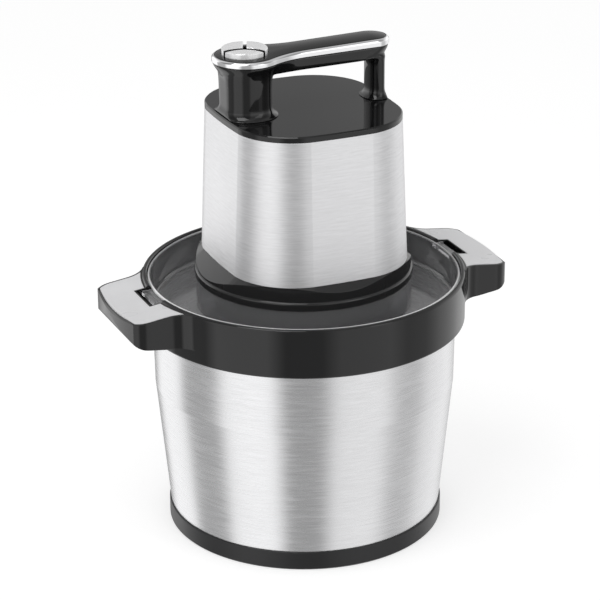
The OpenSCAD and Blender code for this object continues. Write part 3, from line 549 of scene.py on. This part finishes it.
@dataclass
class Assembly:
    """A group of pieces that are dressed and reported together."""

    made: list[str] = field(default_factory=list)

    def dress(self, finish: Finish, *nodes: str) -> None:
        """Gives nodes of the frame a finish.

        Args:
            finish: the finish.
            nodes: the nodes' names.
        """
        material = finish.material()
        for name in nodes:
            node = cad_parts[name]
            node.data.materials.clear()
            node.data.materials.append(material)
            self.made.append(name)

    def seat(self, piece: bpy.types.Object, finish: Finish, body: str, node: str) -> None:
        """Gives a new piece its finish, and puts it in a node's place.

        Args:
            piece: the new piece.
            finish: its finish.
            body: the body that it rides on.
            node: the node that it stands for.
        """
        piece.data.materials.clear()
        piece.data.materials.append(finish.material())
        piece.data.name = piece.name
        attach(piece, body)
        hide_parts(node)
        self.made.append(piece.name)

    def report(self) -> None:
        """Logs the pieces that are finished."""
        LOG.info("%s: %s", type(self).__name__, ", ".join(self.made))


STEEL = BrushedSteel("bowl_brushed_steel")
SLEEVE_STEEL = BrushedSteel("sleeve_brushed_steel", (0.80, 0.80, 0.81), 0.50, line_length=0.016)
GROUND_STEEL = BrushedSteel("ground_blade_steel", roughness=0.2, anisotropy=0.3)
CHROME = Polished("mirror_chrome", (0.90, 0.90, 0.91), 0.07, 0.0)
KEY_SILVER = Polished("key_silver", (0.94, 0.94, 0.945), 0.14, 0.0, 0.25)
PIN_STEEL = Polished("turned_steel", (0.55, 0.55, 0.56), 0.22)
GLOSS_BLACK = Moulded("piano_black", (0.0072, 0.0072, 0.0075), 0.06)
BASE_BLACK = Moulded("base_gloss_black", (0.022, 0.022, 0.0225), 0.07)
# pale opaque finish for the ring on the lid's edge: a painted highlight standing in for the edge's glint
GLINT_RING_PALE = Moulded("lid_edge_painted_glint", (0.92, 0.92, 0.93), 0.12, 0.6, 300.0)
SATIN_BLACK = Moulded("satin_black", (0.018, 0.018, 0.019), 0.38, 0.4, 900.0, 0.00005)
GRIP_GREY = Moulded("grip_plate_grey", (0.76, 0.76, 0.77), 0.30, 0.5, 1500.0, 0.00003, 0.0008)
SMOKE = Smoked("smoky_acrylic")
SEAL = Moulded("black_rubber", (0.02, 0.02, 0.02), 0.6, 0.3, 1200.0, 0.0001)
NYLON = Moulded("milky_nylon", (0.72, 0.71, 0.64), 0.4, 0.5, 700.0, 0.00005)
CARBON = Moulded("brush_carbon", (0.03, 0.03, 0.032), 0.55, 0.3, 2000.0, 0.0001)
LAMINATED = Layered("stacked_sheet", (0.30, 0.31, 0.33), 0.0005)
CAST = Polished("sand_cast_alloy", (0.45, 0.46, 0.47), 0.42)
WINDING = Layered("enamelled_copper", (0.55, 0.20, 0.07), 0.0008, 0.3)


@dataclass
class BowlUnit(Assembly):
    """Base ring, steel bowl, black rim with grips and their plates."""

    def build(self) -> None:
        """Dresses the bowl's pieces."""
        self.dress(SATIN_BLACK, "base_ring")
        self.dress(STEEL, "bowl")
        self.dress(GLOSS_BLACK, "bowl_collar")
        self.dress(GRIP_GREY, "left_grip_inlay", "right_grip_inlay")
        self.dress(PIN_STEEL, "spindle_pin", "spindle_nut")
        self.dress(SEAL, "spindle_washer")


@dataclass
class BladeUnit(Assembly):
    """The blades with their hub and drive socket."""

    def build(self) -> None:
        """Dresses the blades' pieces."""
        self.dress(NYLON, "pin_sleeve", "drive_socket")
        self.dress(SATIN_BLACK, "blade_hub", "blade_spacer", "blade_nut")
        self.dress(GROUND_STEEL, "lower_blade", "upper_blade")


@dataclass
class LidUnit(Assembly):
    """The smoked lid with a pale ring on its edge as a painted highlight for the edge's glint, and its seals.
    Sizes in millimetres.
    """

    rim_r: float = 116.2
    top_z: float = 195.5
    edge_w: float = 1.3
    edge_rise: float = 0.8
    edge_sink: float = 0.75
    edge_steps: int = 180

    def add_glint_ring(self) -> None:
        """Adds a pale sloping ring round the lid's edge, a painted highlight for the glint where the clear sheet
        catches the light.
        """
        inner, outer = self.rim_r - self.edge_w - 0.3, self.rim_r - 0.15
        low, high = self.top_z - self.edge_sink, self.top_z + self.edge_rise
        rows = ((outer, low), (outer - 0.5, self.top_z - 0.1), (inner, high), (inner - 0.15, low))
        loops = [[(x, y, z) for x, y in arc(0.0, 0.0, r, 0, 360, self.edge_steps)[:-1]] for r, z in rows]
        # the ring's pale colour is a painted highlight, not the lid's own edge
        edge = Former.skin("lid_edge_glint_ring", loops, Ends.JOINED)
        edge.data.materials.append(GLINT_RING_PALE.material())
        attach(edge, "lid")
        self.made.append(edge.name)

    def build(self) -> None:
        """Dresses the lid's pieces and adds the painted glint ring on its edge."""
        self.dress(SMOKE, "lid")
        self.dress(SEAL, "lid_seal", "shaft_seal")
        self.add_glint_ring()


@dataclass
class MotorHousing(Assembly):
    """The black base, the steel sleeve, the cap and what they hold."""

    def build(self) -> None:
        """Dresses the housing's pieces."""
        self.dress(BASE_BLACK, "motor_base")
        self.dress(GLOSS_BLACK, "top_cap")
        self.dress(SLEEVE_STEEL, "housing_sleeve")
        self.dress(SATIN_BLACK, "cord_inlet", "fan", "brush_holders")
        self.dress(PIN_STEEL, "tie_rods", "output_bearing", "lower_bearing", "upper_bearing", "motor_screws",
                   "rotor_shaft", "planet_carrier", "output_coupling")
        self.dress(NYLON, "ring_gear", "planet_gear_1", "planet_gear_2", "planet_gear_3")
        self.dress(CAST, "gearbox_cover", "lower_bracket", "upper_bracket")
        self.dress(LAMINATED, "stator", "armature")
        self.dress(WINDING, "field_coils", "armature_windings", "commutator")
        self.dress(CARBON, "carbon_brushes")


@dataclass(frozen=True)
class HandlePlan:
    """Outline of the handle seen from above, in millimetres."""

    head_x: float = -43.5
    head_r: float = 25.0
    end_x: float = 53.2
    half_w: float = 14.0
    neck_r: float = 60.0
    head_drop: float = 1.0
    top_drop: float = 1.2
    trim_z: float = 364.5
    top_z: float = 370.3

    def outline(self, inset: float) -> list[Spot]:
        """Round head, long hollow neck on each side, straight bar and round end.

        Args:
            inset: how far the outline is shrunk.

        Returns:
            The points, always equally many.
        """
        side = self.half_w + self.neck_r
        reach = math.sqrt((self.head_r + self.neck_r) ** 2 - side ** 2)
        turn = math.degrees(math.atan2(side, reach))
        neck_x = self.head_x + reach
        y = self.half_w - inset
        r = self.neck_r + inset
        return (arc(self.head_x, 0.0, self.head_r - inset, turn, 360 - turn, 60)
                + arc(neck_x, -side, r, 180 - turn, 90, 16)[1:]
                + straight((neck_x, -y), (self.end_x, -y), 12)[1:]
                + arc(self.end_x, 0.0, y, -90, 90, 30)[1:]
                + straight((self.end_x, y), (neck_x, y), 12)[1:]
                + arc(neck_x, side, r, 270, 180 + turn, 16)[1:-1])

    def sink(self, x: float, z: float) -> float:
        """How much lower the handle lies at a place along X than at the bar's end, most at its top."""
        drop = self.head_drop + self.top_drop * hold((z - self.trim_z) / (self.top_z - self.trim_z))
        return -drop * (1 - hold((x - self.head_x) / (self.end_x - self.head_x)))

    def level(self, inset: float, z: float) -> Loop:
        """The shrunk outline at a height of the bar's end, sunk towards the head."""
        return [(x, y, z + self.sink(x, z)) for x, y in self.outline(inset)]


@dataclass
class TopHandle(Assembly):
    """The handle on its two posts, its bright strip and the keys. Sizes in millimetres."""

    plan: HandlePlan = HandlePlan()
    deck_z: float = 324.0
    bar_z: float = 354.6
    bar_curve: Table = ((3.4, 0.0), (1.7, 0.5), (0.8, 1.6), (0.4, 3.4))
    bar_inset: float = 0.3
    core_inset: float = 2.4
    core_h: float = 2.0
    deck_edge: float = 63.0
    post_x: float = -44.6
    post_half_x: float = 17.2
    post_half_y: float = 21.3
    post_corner: float = 15.8
    post_rings: tuple[float, ...] = (9.0, 12.0, 16.0, 20.0, 23.0, 25.0, 27.0, 29.0, 30.5, 32.0, 33.0, 34.0,
                                     35.0, 36.0, 37.0, 38.0, 39.0)
    slim_x: float = 57.0
    slim_half_x: float = 6.0
    slim_half_y: float = 10.6
    slim_square: float = 0.8
    slim_foot: float = 0.7
    slim_lean: float = 4.5
    slim_swell: float = 1.2
    slim_rings: tuple[float, ...] = (10.0, 15.0, 20.0, 24.0)
    slim_head: float = 5.0
    head_rings: tuple[float, ...] = (5.0, 3.6, 2.4, 1.4, 0.6, 0.0, -2.0)
    foot_spread: float = 7.0
    corner_r: float = 7.0
    corner_half: float = 9.0
    switch_r: float = 15.5
    switch_z: float = 353.0
    well_r: float = 19.4
    well_z: float = 361.0
    above: float = 390.0
    key_r: float = 16.6
    key_turn: float = -23.5
    key_shift: float = -1.3
    key_play: float = 0.45
    key_foot: float = 1.2
    front_rise: float = 3.8
    rear_rise: float = 4.3
    lens_y: float = -20.5
    lens_r: float = 18.5
    lens_gap: float = 1.1
    slot_half: float = 1.3
    head_waist: float = 0.21
    waist_span: Spot = (-32.0, -4.0)
    waist_reach: float = 22.0
    taper_x: float = 45.0
    taper_span: Spot = (40.0, 60.0)
    end_taper: float = 0.165
    side_taper: float = 0.20
    flare: Table = ((0.0, 0.0), (21.0, 0.0), (27.0, 0.04), (30.5, 0.12), (34.0, 0.36), (37.6, 0.80),
                    (39.0, 0.95), (41.0, 1.0))
    foot: Table = ((0.0, 1.0), (0.06, 0.66), (0.15, 0.48), (0.3, 0.29), (0.5, 0.13), (0.75, 0.03), (1.0, 0.0))
    taper: Table = ((0.0, 0.0), (0.15, 0.08), (0.35, 0.28), (0.65, 0.72), (0.95, 0.98), (1.2, 1.0))
    rim_curve: Table = ((1.0, -0.7), (0.985, -0.35), (0.93, 0.0), (0.84, 0.12))
    lens_groove: Table = ((0.80, -0.12), (0.76, 0.14))
    dome: Table = ((0.6, 0.3), (0.4, 0.42), (0.2, 0.5), (0.03, 0.52))
    cover_steps: tuple[float, ...] = (3.4, 4.6, 6.0, 7.6, 9.2, 10.8, 12.2, 13.2, 13.8)
    crown: float = 0.75
    grain: float = 0.55
    melt_rounds: int = 20

    def bar(self) -> bpy.types.Object:
        """The bar and the head's upper part, with the core that carries strip and cover.

        Returns:
            The closed form.
        """
        trim = self.plan.trim_z
        seam = trim - 0.1
        rows = [(inset, self.bar_z + rise) for inset, rise in self.bar_curve]
        rows += [(self.bar_inset, trim - 3.0), (self.bar_inset, seam)]
        rows += [(self.core_inset, seam), (self.core_inset, trim + self.core_h)]
        loops = []
        for inset, z in rows:
            share = pick((trim - z) / (trim - self.bar_z), self.taper) if z < trim else 0.0
            waist = 1 - self.head_waist * (1 - pick(z - self.deck_z, self.flare)) if z < trim - 0.2 else 1.0
            loops.append([self.bar_point(point, share, waist) for point in self.plan.level(inset, z)])
        return Former.skin("bar_form", loops)

    def bar_point(self, point: Point, share: float, waist: float) -> Point:
        """Narrows the bar towards the slim post, and its head towards the thick post.

        Args:
            point: a point of the handle's outline.
            share: how much of the taper applies at its height.
            waist: width of the head at its height, as a share of its width at the strip.

        Returns:
            The point of the bar.
        """
        x, y, z = point
        start, middle = self.taper_x, self.plan.head_x
        head = 1 - (1 - waist) * (1 - ease(x, *self.waist_span))
        side = head * (1 - self.side_taper * share * ease(x, *self.taper_span))
        if x > start:
            x = start + (x - start) * (1 - self.end_taper * share)
        elif x < middle + self.waist_reach:
            x = middle + (x - middle) * head
        return x, y * side, z

    def big_post(self) -> bpy.types.Object:
        """The thick post: a rounded block that spreads into the round head.

        Returns:
            The closed form.
        """
        top = self.plan.trim_z - self.deck_z - 0.3
        heights = [self.foot_spread * share for share, _ in self.foot] + [*self.post_rings, top]
        high = self.soft_block(self.plan.head_r - 0.4, True)
        loops = []
        for z in heights:
            low = self.soft_block(self.post_corner + self.foot_spread * pick(z / self.foot_spread, self.foot))
            share = pick(z, self.flare)
            edge = -self.deck_edge if z < 10.0 else -math.inf
            loop = []
            for (x0, y0), (x1, y1) in zip(low, high):
                x = x0 + (x1 - x0) * share
                y = y0 + (y1 - y0) * share
                loop.append((max(x, edge), y, self.deck_z + z + self.plan.sink(x, self.bar_z) * share))
            loops.append(loop)
        return Former.skin("post_form", loops)

    def soft_block(self, radius: float, head: bool = False) -> list[Spot]:
        """Section of the thick post, or the head's circle with as many points.

        Args:
            radius: radius of the corners or of the circle.
            head: whether the section is the head's circle.

        Returns:
            The points.
        """
        steps = 22
        spots = []
        for quarter in range(4):
            sx = 1 if quarter in (0, 3) else -1
            sy = 1 if quarter in (0, 1) else -1
            cx = self.post_x + sx * (self.post_half_x - self.post_corner)
            cy = sy * (self.post_half_y - self.post_corner)
            if head:
                cx, cy = self.plan.head_x, 0.0
            spots += arc(cx, cy, radius, 90 * quarter, 90 * quarter + 90, steps - 1)
        return spots

    def slim_post(self) -> bpy.types.Object:
        """The slim post: a rounded blade that spreads at its foot and into the bar.

        Returns:
            The closed form.
        """
        top = self.bar_z - self.deck_z
        heights = [self.foot_spread * share for share, _ in self.foot] + list(self.slim_rings)
        heights += [top - below for below in self.head_rings]
        loops = []
        for z in heights:
            low = self.foot_spread * pick(z / self.foot_spread, self.foot)
            high = pick((top - z) / self.slim_head, self.foot)
            loop = []
            for c, d in arc(0.0, 0.0, 1.0, 0, 360, 72)[:-1]:
                x = math.copysign(abs(c) ** self.slim_square, c) * self.slim_half_x
                y = math.copysign(abs(d) ** self.slim_square, d) * self.slim_half_y
                x += c * (low + (self.slim_lean * high if c < 0 else 0.0))
                y += d * (self.slim_foot * low + self.slim_swell * high)
                loop.append((min(self.slim_x + x, self.deck_edge), y, self.deck_z + z))
            loops.append(loop)
        return Former.skin("slim_form", loops)

    def inner_corner(self) -> bpy.types.Object:
        """The hollow curve between the thick post and the bar's underside.

        Returns:
            The closed form.
        """
        x, z, r = self.post_x + self.post_half_x, self.bar_z + 0.6, self.corner_r
        side = [(-5.0, 4.0), (-5.0, -r)] + arc(r, -r, r, 180, 90, 8) + [(r, 4.0)]
        loops = [[(x + px, y, z + pz) for px, pz in side] for y in (-self.corner_half, self.corner_half)]
        return Former.skin("corner_form", loops)

    def well(self, radius: float, low: float, shift: float = 0.0) -> bpy.types.Object:
        """A round cutter in the head from a height up, shifted along the keys' own X axis."""
        ring = arc(*self.turned((shift, 0.0)), radius, 0, 360, 72)[:-1]
        return Former.skin("well", [[(x, y, z) for x, y in ring] for z in (low, self.above)])

    def turned(self, spot: Spot) -> Spot:
        """Turns a place beside the head's axis from the keys' own axes to the object's."""
        c, d = math.cos(math.radians(self.key_turn)), math.sin(math.radians(self.key_turn))
        x, y = spot
        return self.plan.head_x + x * c - y * d, x * d + y * c

    def add_body(self) -> None:
        """Melts the bar and the posts into one moulding, and cuts the wells for switches and keys."""
        forms = [self.bar(), self.big_post(), self.slim_post(), self.inner_corner()]
        body = Former.melt(forms, "handle_moulding", self.grain, self.melt_rounds)
        Former.cut(body, self.well(self.switch_r, self.switch_z))
        Former.cut(body, self.well(self.well_r, self.well_z))
        Former.smooth(body, 40.0)
        self.seat(body, GLOSS_BLACK, "motor_unit", "handle_body")

    def add_strip(self) -> None:
        """Sweeps the bright strip's section round the handle."""
        low, top = self.plan.trim_z, self.plan.top_z - 0.5
        outside = ((2.0, low), (0.3, low), (0.0, low + 0.3), (0.0, top - 2.1))
        bevel = ((0.12, top - 1.7), (1.25, top - 0.35), (1.6, top - 0.1), (2.0, top))
        rows = outside + bevel + ((2.05, low + 1.5),)
        strip = Former.skin("bright_strip", [self.plan.level(*row) for row in rows], Ends.JOINED)
        self.seat(strip, CHROME, "motor_unit", "handle_trim")

    def add_cover(self) -> None:
        """Makes the crowned cover with the round opening for the keys."""
        low, top = self.plan.trim_z + 2.2, self.plan.top_z
        rows = [(2.3, low), (2.3, top - 0.9), (2.4, top - 0.6), (2.7, top - 0.38)]
        middle = self.cover_steps[-1]
        for inset in self.cover_steps:
            across = (middle - inset) / (middle - rows[3][0])
            rows.append((inset, top - 0.35 + self.crown * (1 - across ** 2)))
        cover = Former.skin("handle_lid", [self.plan.level(*row) for row in rows])
        Former.cut(cover, self.well(self.key_r + self.key_play, self.bar_z, self.key_shift))
        Former.smooth(cover, 30.0)
        self.seat(cover, GLOSS_BLACK, "motor_unit", "handle_cover")

    def key_outline(self, side: int) -> list[Spot]:
        """Outline of a key about the head's axis: the lens in front, or one of the two behind.

        Args:
            side: 0 for the front key, -1 and 1 for the left and right ones.

        Returns:
            The points.
        """
        r = self.key_r
        lens = self.lens_r - self.lens_gap if side == 0 else self.lens_r + self.lens_gap
        y = (lens ** 2 - r ** 2 - self.lens_y ** 2) / (2 * -self.lens_y)
        outer = math.degrees(math.asin(y / r))
        inner = math.degrees(math.asin((y - self.lens_y) / lens))
        if side == 0:
            front = arc(0.0, 0.0, r, 180 - outer, 360 + outer, 40)
            return front[:-1] + arc(0.0, self.lens_y, lens, inner, 180 - inner, 24)[:-1]
        slot = math.degrees(math.acos(self.slot_half / r))
        near = math.degrees(math.acos(self.slot_half / lens))
        low = (self.slot_half, self.lens_y + lens * math.sin(math.radians(near)))
        high = (self.slot_half, r * math.sin(math.radians(slot)))
        spots = (arc(0.0, 0.0, r, outer, slot, 30)[:-1] + straight(high, low, 10)[:-1]
                 + arc(0.0, self.lens_y, lens, near, inner, 16)[:-1])
        return [(side * x, y) for x, y in spots]

    def add_key(self, name: str, side: int, edge: float) -> None:
        """Makes one key: upright wall, bevelled rim and a low dome.

        Args:
            name: the node's name.
            side: 0 for the front key, -1 and 1 for the left and right ones.
            edge: height of the rim above the cover.
        """
        spots = self.key_outline(side)
        middle = (sum(x for x, _ in spots) / len(spots), sum(y for _, y in spots) / len(spots))
        top = self.rim_curve + (self.lens_groove if side == 0 else ()) + self.dome
        level = self.plan.top_z + self.plan.sink(self.plan.head_x, self.plan.top_z)
        rows = [(1.0, -self.key_foot)] + [(scale, edge + rise) for scale, rise in top]
        loops = []
        for scale, z in rows:
            loop = []
            for sx, sy in spots:
                x, y = middle[0] + (sx - middle[0]) * scale, middle[1] + (sy - middle[1]) * scale
                loop.append((*self.turned((x + self.key_shift, y)), level + z))
            loops.append(loop)
        key = Former.skin(name + "_cap", loops)
        self.seat(key, KEY_SILVER, name, name)
        # painted shade: the rear key's wall in the gap beside the lens key is made black
        if side:
            self.paint_gap_shade(key, level + edge - 0.2)

    def paint_gap_shade(self, key: bpy.types.Object, high: float) -> None:
        """Paints a rear key's wall black where it faces the lens key, as painted shade in the gap between the
        keys.

        Args:
            key: the rear key.
            high: the height that the black reaches to.
        """
        key.data.materials.append(GLOSS_BLACK.material())
        lens = self.turned((self.key_shift, self.lens_y))
        reach = self.lens_r + self.lens_gap + 0.3
        for face in key.data.polygons:
            x, y, z = face.center / MM
            if math.dist((x, y), lens) < reach and z < high:
                face.material_index = 1

    def build(self) -> None:
        """Makes the handle's pieces and dresses what is inside."""
        self.add_body()
        self.add_strip()
        self.add_cover()
        self.add_key("front_key", 0, self.front_rise)
        self.add_key("left_key", -1, self.rear_rise)
        self.add_key("right_key", 1, self.rear_rise)
        self.dress(SATIN_BLACK, "switch_block")
        self.dress(PIN_STEEL, "front_key_spring", "left_key_spring", "right_key_spring")


@dataclass
class SoftBox:
    """A flat soft light that faces the object.

    Angles are counted from the camera: azimuth to the right of it, elevation above the table.
    """

    name: str
    azimuth: float
    elevation: float
    distance: float
    width: float
    height: float
    radiance: float


@dataclass
class Studio:
    """Floor, surroundings, lights and camera."""

    turn: float = 23.5
    look_at: Point = (-0.0029, 0.0, 0.1717)
    distance: float = 1.865
    elevation: float = 22.16
    roll: float = -0.35
    lens: float = 150.0
    sensor: float = 36.0
    clip: Spot = (0.05, 50.0)
    floor_size: float = 12.0
    room: float = 0.64
    bands: Table = (
        (-180.0, 0.40), (-158.0, 0.50), (-146.0, 1.40), (-112.0, 1.45), (-104.0, 0.54), (-74.0, 0.56),
        (-64.0, 1.40), (-26.0, 1.44), (-13.0, 0.48), (13.0, 0.50), (26.0, 1.14), (64.0, 1.22),
        (78.0, 0.72), (96.0, 0.72), (112.0, 1.12), (142.0, 1.28), (156.0, 1.00), (180.0, 0.40))
    heights: Table = (
        (-90.0, 0.52), (0.0, 0.52), (7.0, 0.76), (22.0, 0.52), (38.0, 0.29), (60.0, 0.34), (90.0, 0.48))
    peak: float = 1.8
    usual: float = 0.65
    aim_z: float = 0.19
    floor_color: Color = (0.55, 0.55, 0.55)
    floor_glow: float = 0.60

    def turned(self, place: Vector) -> Vector:
        """Turns a place from the camera's heading to the object's axes."""
        return Matrix.Rotation(-math.radians(self.turn), 3, "Z") @ place

    def heading(self, azimuth: float, elevation: float) -> Vector:
        """A direction from the object.

        Args:
            azimuth: degrees to the right of the camera.
            elevation: degrees above the table.

        Returns:
            The unit vector in the object's axes.
        """
        a, e = math.radians(azimuth), math.radians(elevation)
        return self.turned(Vector((math.sin(a) * math.cos(e), -math.cos(a) * math.cos(e), math.sin(e))))

    def add_camera(self) -> None:
        """Places the camera as the photograph was taken."""
        data = bpy.data.cameras.new("camera")
        data.lens = self.lens
        data.sensor_width = self.sensor
        data.clip_start, data.clip_end = self.clip
        camera = bpy.data.objects.new("camera", data)
        bpy.context.scene.collection.objects.link(camera)
        back = self.heading(0.0, self.elevation)
        right = self.turned(Vector((1.0, 0.0, 0.0)))
        up = back.cross(right)
        r = math.radians(self.roll)
        across = math.cos(r) * right + math.sin(r) * up
        upward = -math.sin(r) * right + math.cos(r) * up
        turn = Matrix((across, upward, back)).transposed()
        place = self.turned(Vector(self.look_at)) + self.distance * back
        camera.matrix_world = Matrix.Translation(place) @ turn.to_4x4()
        bpy.context.scene.camera = camera
        LOG.info("camera at %s", tuple(round(v, 3) for v in place))

    def add_floor(self) -> None:
        """Lays the pale floor, which keeps the object's shadow."""
        bpy.ops.object.select_all(action="DESELECT")
        bpy.ops.mesh.primitive_grid_add(x_subdivisions=4, y_subdivisions=4, size=self.floor_size)
        floor = bpy.context.object
        floor.name = "floor"
        material = bpy.data.materials.new("floor_white")
        material.use_nodes = True
        graph = Graph(material.node_tree)
        paint = graph.add("BsdfDiffuse", Color=(*self.floor_color, 1.0))
        glow = graph.add("Emission", Color=(1.0, 1.0, 1.0, 1.0))
        ray = graph.add("LightPath")
        seen = graph.math("ADD", ray.outputs["Is Camera Ray"], ray.outputs["Is Transmission Ray"], clamp=True)
        graph.link(graph.math("MULTIPLY", seen, self.floor_glow), glow.inputs["Strength"])
        both = graph.add("AddShader")
        graph.link(paint.outputs[0], both.inputs[0])
        graph.link(glow.outputs[0], both.inputs[1])
        out = graph.add("OutputMaterial")
        graph.link(both.outputs[0], out.inputs[0])
        floor.data.materials.append(material)
        floor.visible_glossy = False

    @staticmethod
    def ramp(graph: Graph, angle: bpy.types.NodeSocket, table: Table) -> bpy.types.NodeSocket:
        """Reads a level from a table by an angle.

        Args:
            graph: the world's graph.
            angle: the angle in radians.
            table: rows of angle in degrees and level, from the least angle to its opposite.

        Returns:
            The socket with the level.
        """
        last = table[-1][0]
        share = graph.math("MULTIPLY_ADD", angle, 0.5 / math.radians(last))
        share.node.inputs[2].default_value = 0.5
        ramp = graph.add("ValToRGB")
        graph.link(share, ramp.inputs["Fac"])
        stops = ramp.color_ramp.elements
        for place, level in table:
            ends = {-last: stops[0], last: stops[-1]}
            stop = ends.get(place) or stops.new(0.5 * place / last + 0.5)
            stop.color = (level, level, level, 1.0)
        return ramp.outputs["Color"]

    def add_room(self) -> None:
        """Makes the surroundings: white to the camera, soft upright panels to a shiny surface."""
        world = bpy.data.worlds.new("studio")
        world.use_nodes = True
        bpy.context.scene.world = world
        graph = Graph(world.node_tree)
        where = graph.add("TexCoord")
        turn = graph.add("Mapping", vector_type="POINT")
        turn.inputs["Rotation"].default_value = (0.0, 0.0, math.radians(self.turn))
        graph.link(where.outputs["Generated"], turn.inputs["Vector"])
        split = graph.add("SeparateXYZ")
        graph.link(turn.outputs[0], split.inputs[0])
        toward = graph.math("MULTIPLY", split.outputs["Y"], -1.0)
        angle = graph.math("ARCTAN2", split.outputs["X"], toward)
        shares = tuple((azimuth, level / self.peak) for azimuth, level in self.bands)
        around = self.ramp(graph, angle, shares)
        climb = self.ramp(graph, graph.math("ARCSINE", split.outputs["Z"]), self.heights)
        band = graph.math("MULTIPLY", around, self.peak / self.usual)
        panels = graph.math("MULTIPLY", band, climb)
        ray = graph.add("LightPath")
        shiny = graph.add("Mix", data_type="FLOAT")
        graph.link(ray.outputs["Is Glossy Ray"], shiny.inputs["Factor"])
        shiny.inputs["A"].default_value = self.room
        graph.link(panels, shiny.inputs["B"])
        seen = graph.math("ADD", ray.outputs["Is Camera Ray"], ray.outputs["Is Transmission Ray"], clamp=True)
        level = graph.add("Mix", data_type="FLOAT")
        graph.link(seen, level.inputs["Factor"])
        graph.link(shiny.outputs["Result"], level.inputs["A"])
        level.inputs["B"].default_value = 1.0
        back = graph.add("Background", Color=(1.0, 1.0, 1.0, 1.0))
        graph.link(level.outputs["Result"], back.inputs["Strength"])
        out = graph.add("OutputWorld")
        graph.link(back.outputs[0], out.inputs[0])

    def add_light(self, box: SoftBox) -> None:
        """Hangs a soft box that faces the object's middle.

        Args:
            box: its name, place, size and radiance.
        """
        data = bpy.data.lights.new(box.name, "AREA")
        data.shape = "RECTANGLE"
        data.size = box.width
        data.size_y = box.height
        data.energy = box.radiance * math.pi * box.width * box.height
        lamp = bpy.data.objects.new(box.name, data)
        bpy.context.scene.collection.objects.link(lamp)
        away = self.heading(box.azimuth, box.elevation)
        lamp.location = Vector((0.0, 0.0, self.aim_z)) + box.distance * away
        lamp.rotation_mode = "QUATERNION"
        lamp.rotation_quaternion = away.to_track_quat("Z", "Y")
        LOG.info("light %s", box.name)

    def build(self) -> None:
        """Sets up the whole studio."""
        bpy.context.scene.view_settings.view_transform = "Standard"
        self.add_camera()
        self.add_floor()
        self.add_room()
        self.add_light(SoftBox("overhead_box", azimuth=-35.0, elevation=62.0, distance=1.6, width=0.9,
                               height=0.9, radiance=2.6))
        self.add_light(SoftBox("right_fill_box", azimuth=55.0, elevation=35.0, distance=1.9, width=0.5,
                               height=1.2, radiance=0.9))


def main() -> None:
    """Dresses the object, sets up the studio and reports each group."""
    logging.basicConfig(level=logging.INFO, format="%(message)s")
    for part in (BowlUnit(), BladeUnit(), LidUnit(), MotorHousing(), TopHandle()):
        part.build()
        part.report()
    Studio().build()


if __name__ == "__main__":
    main()
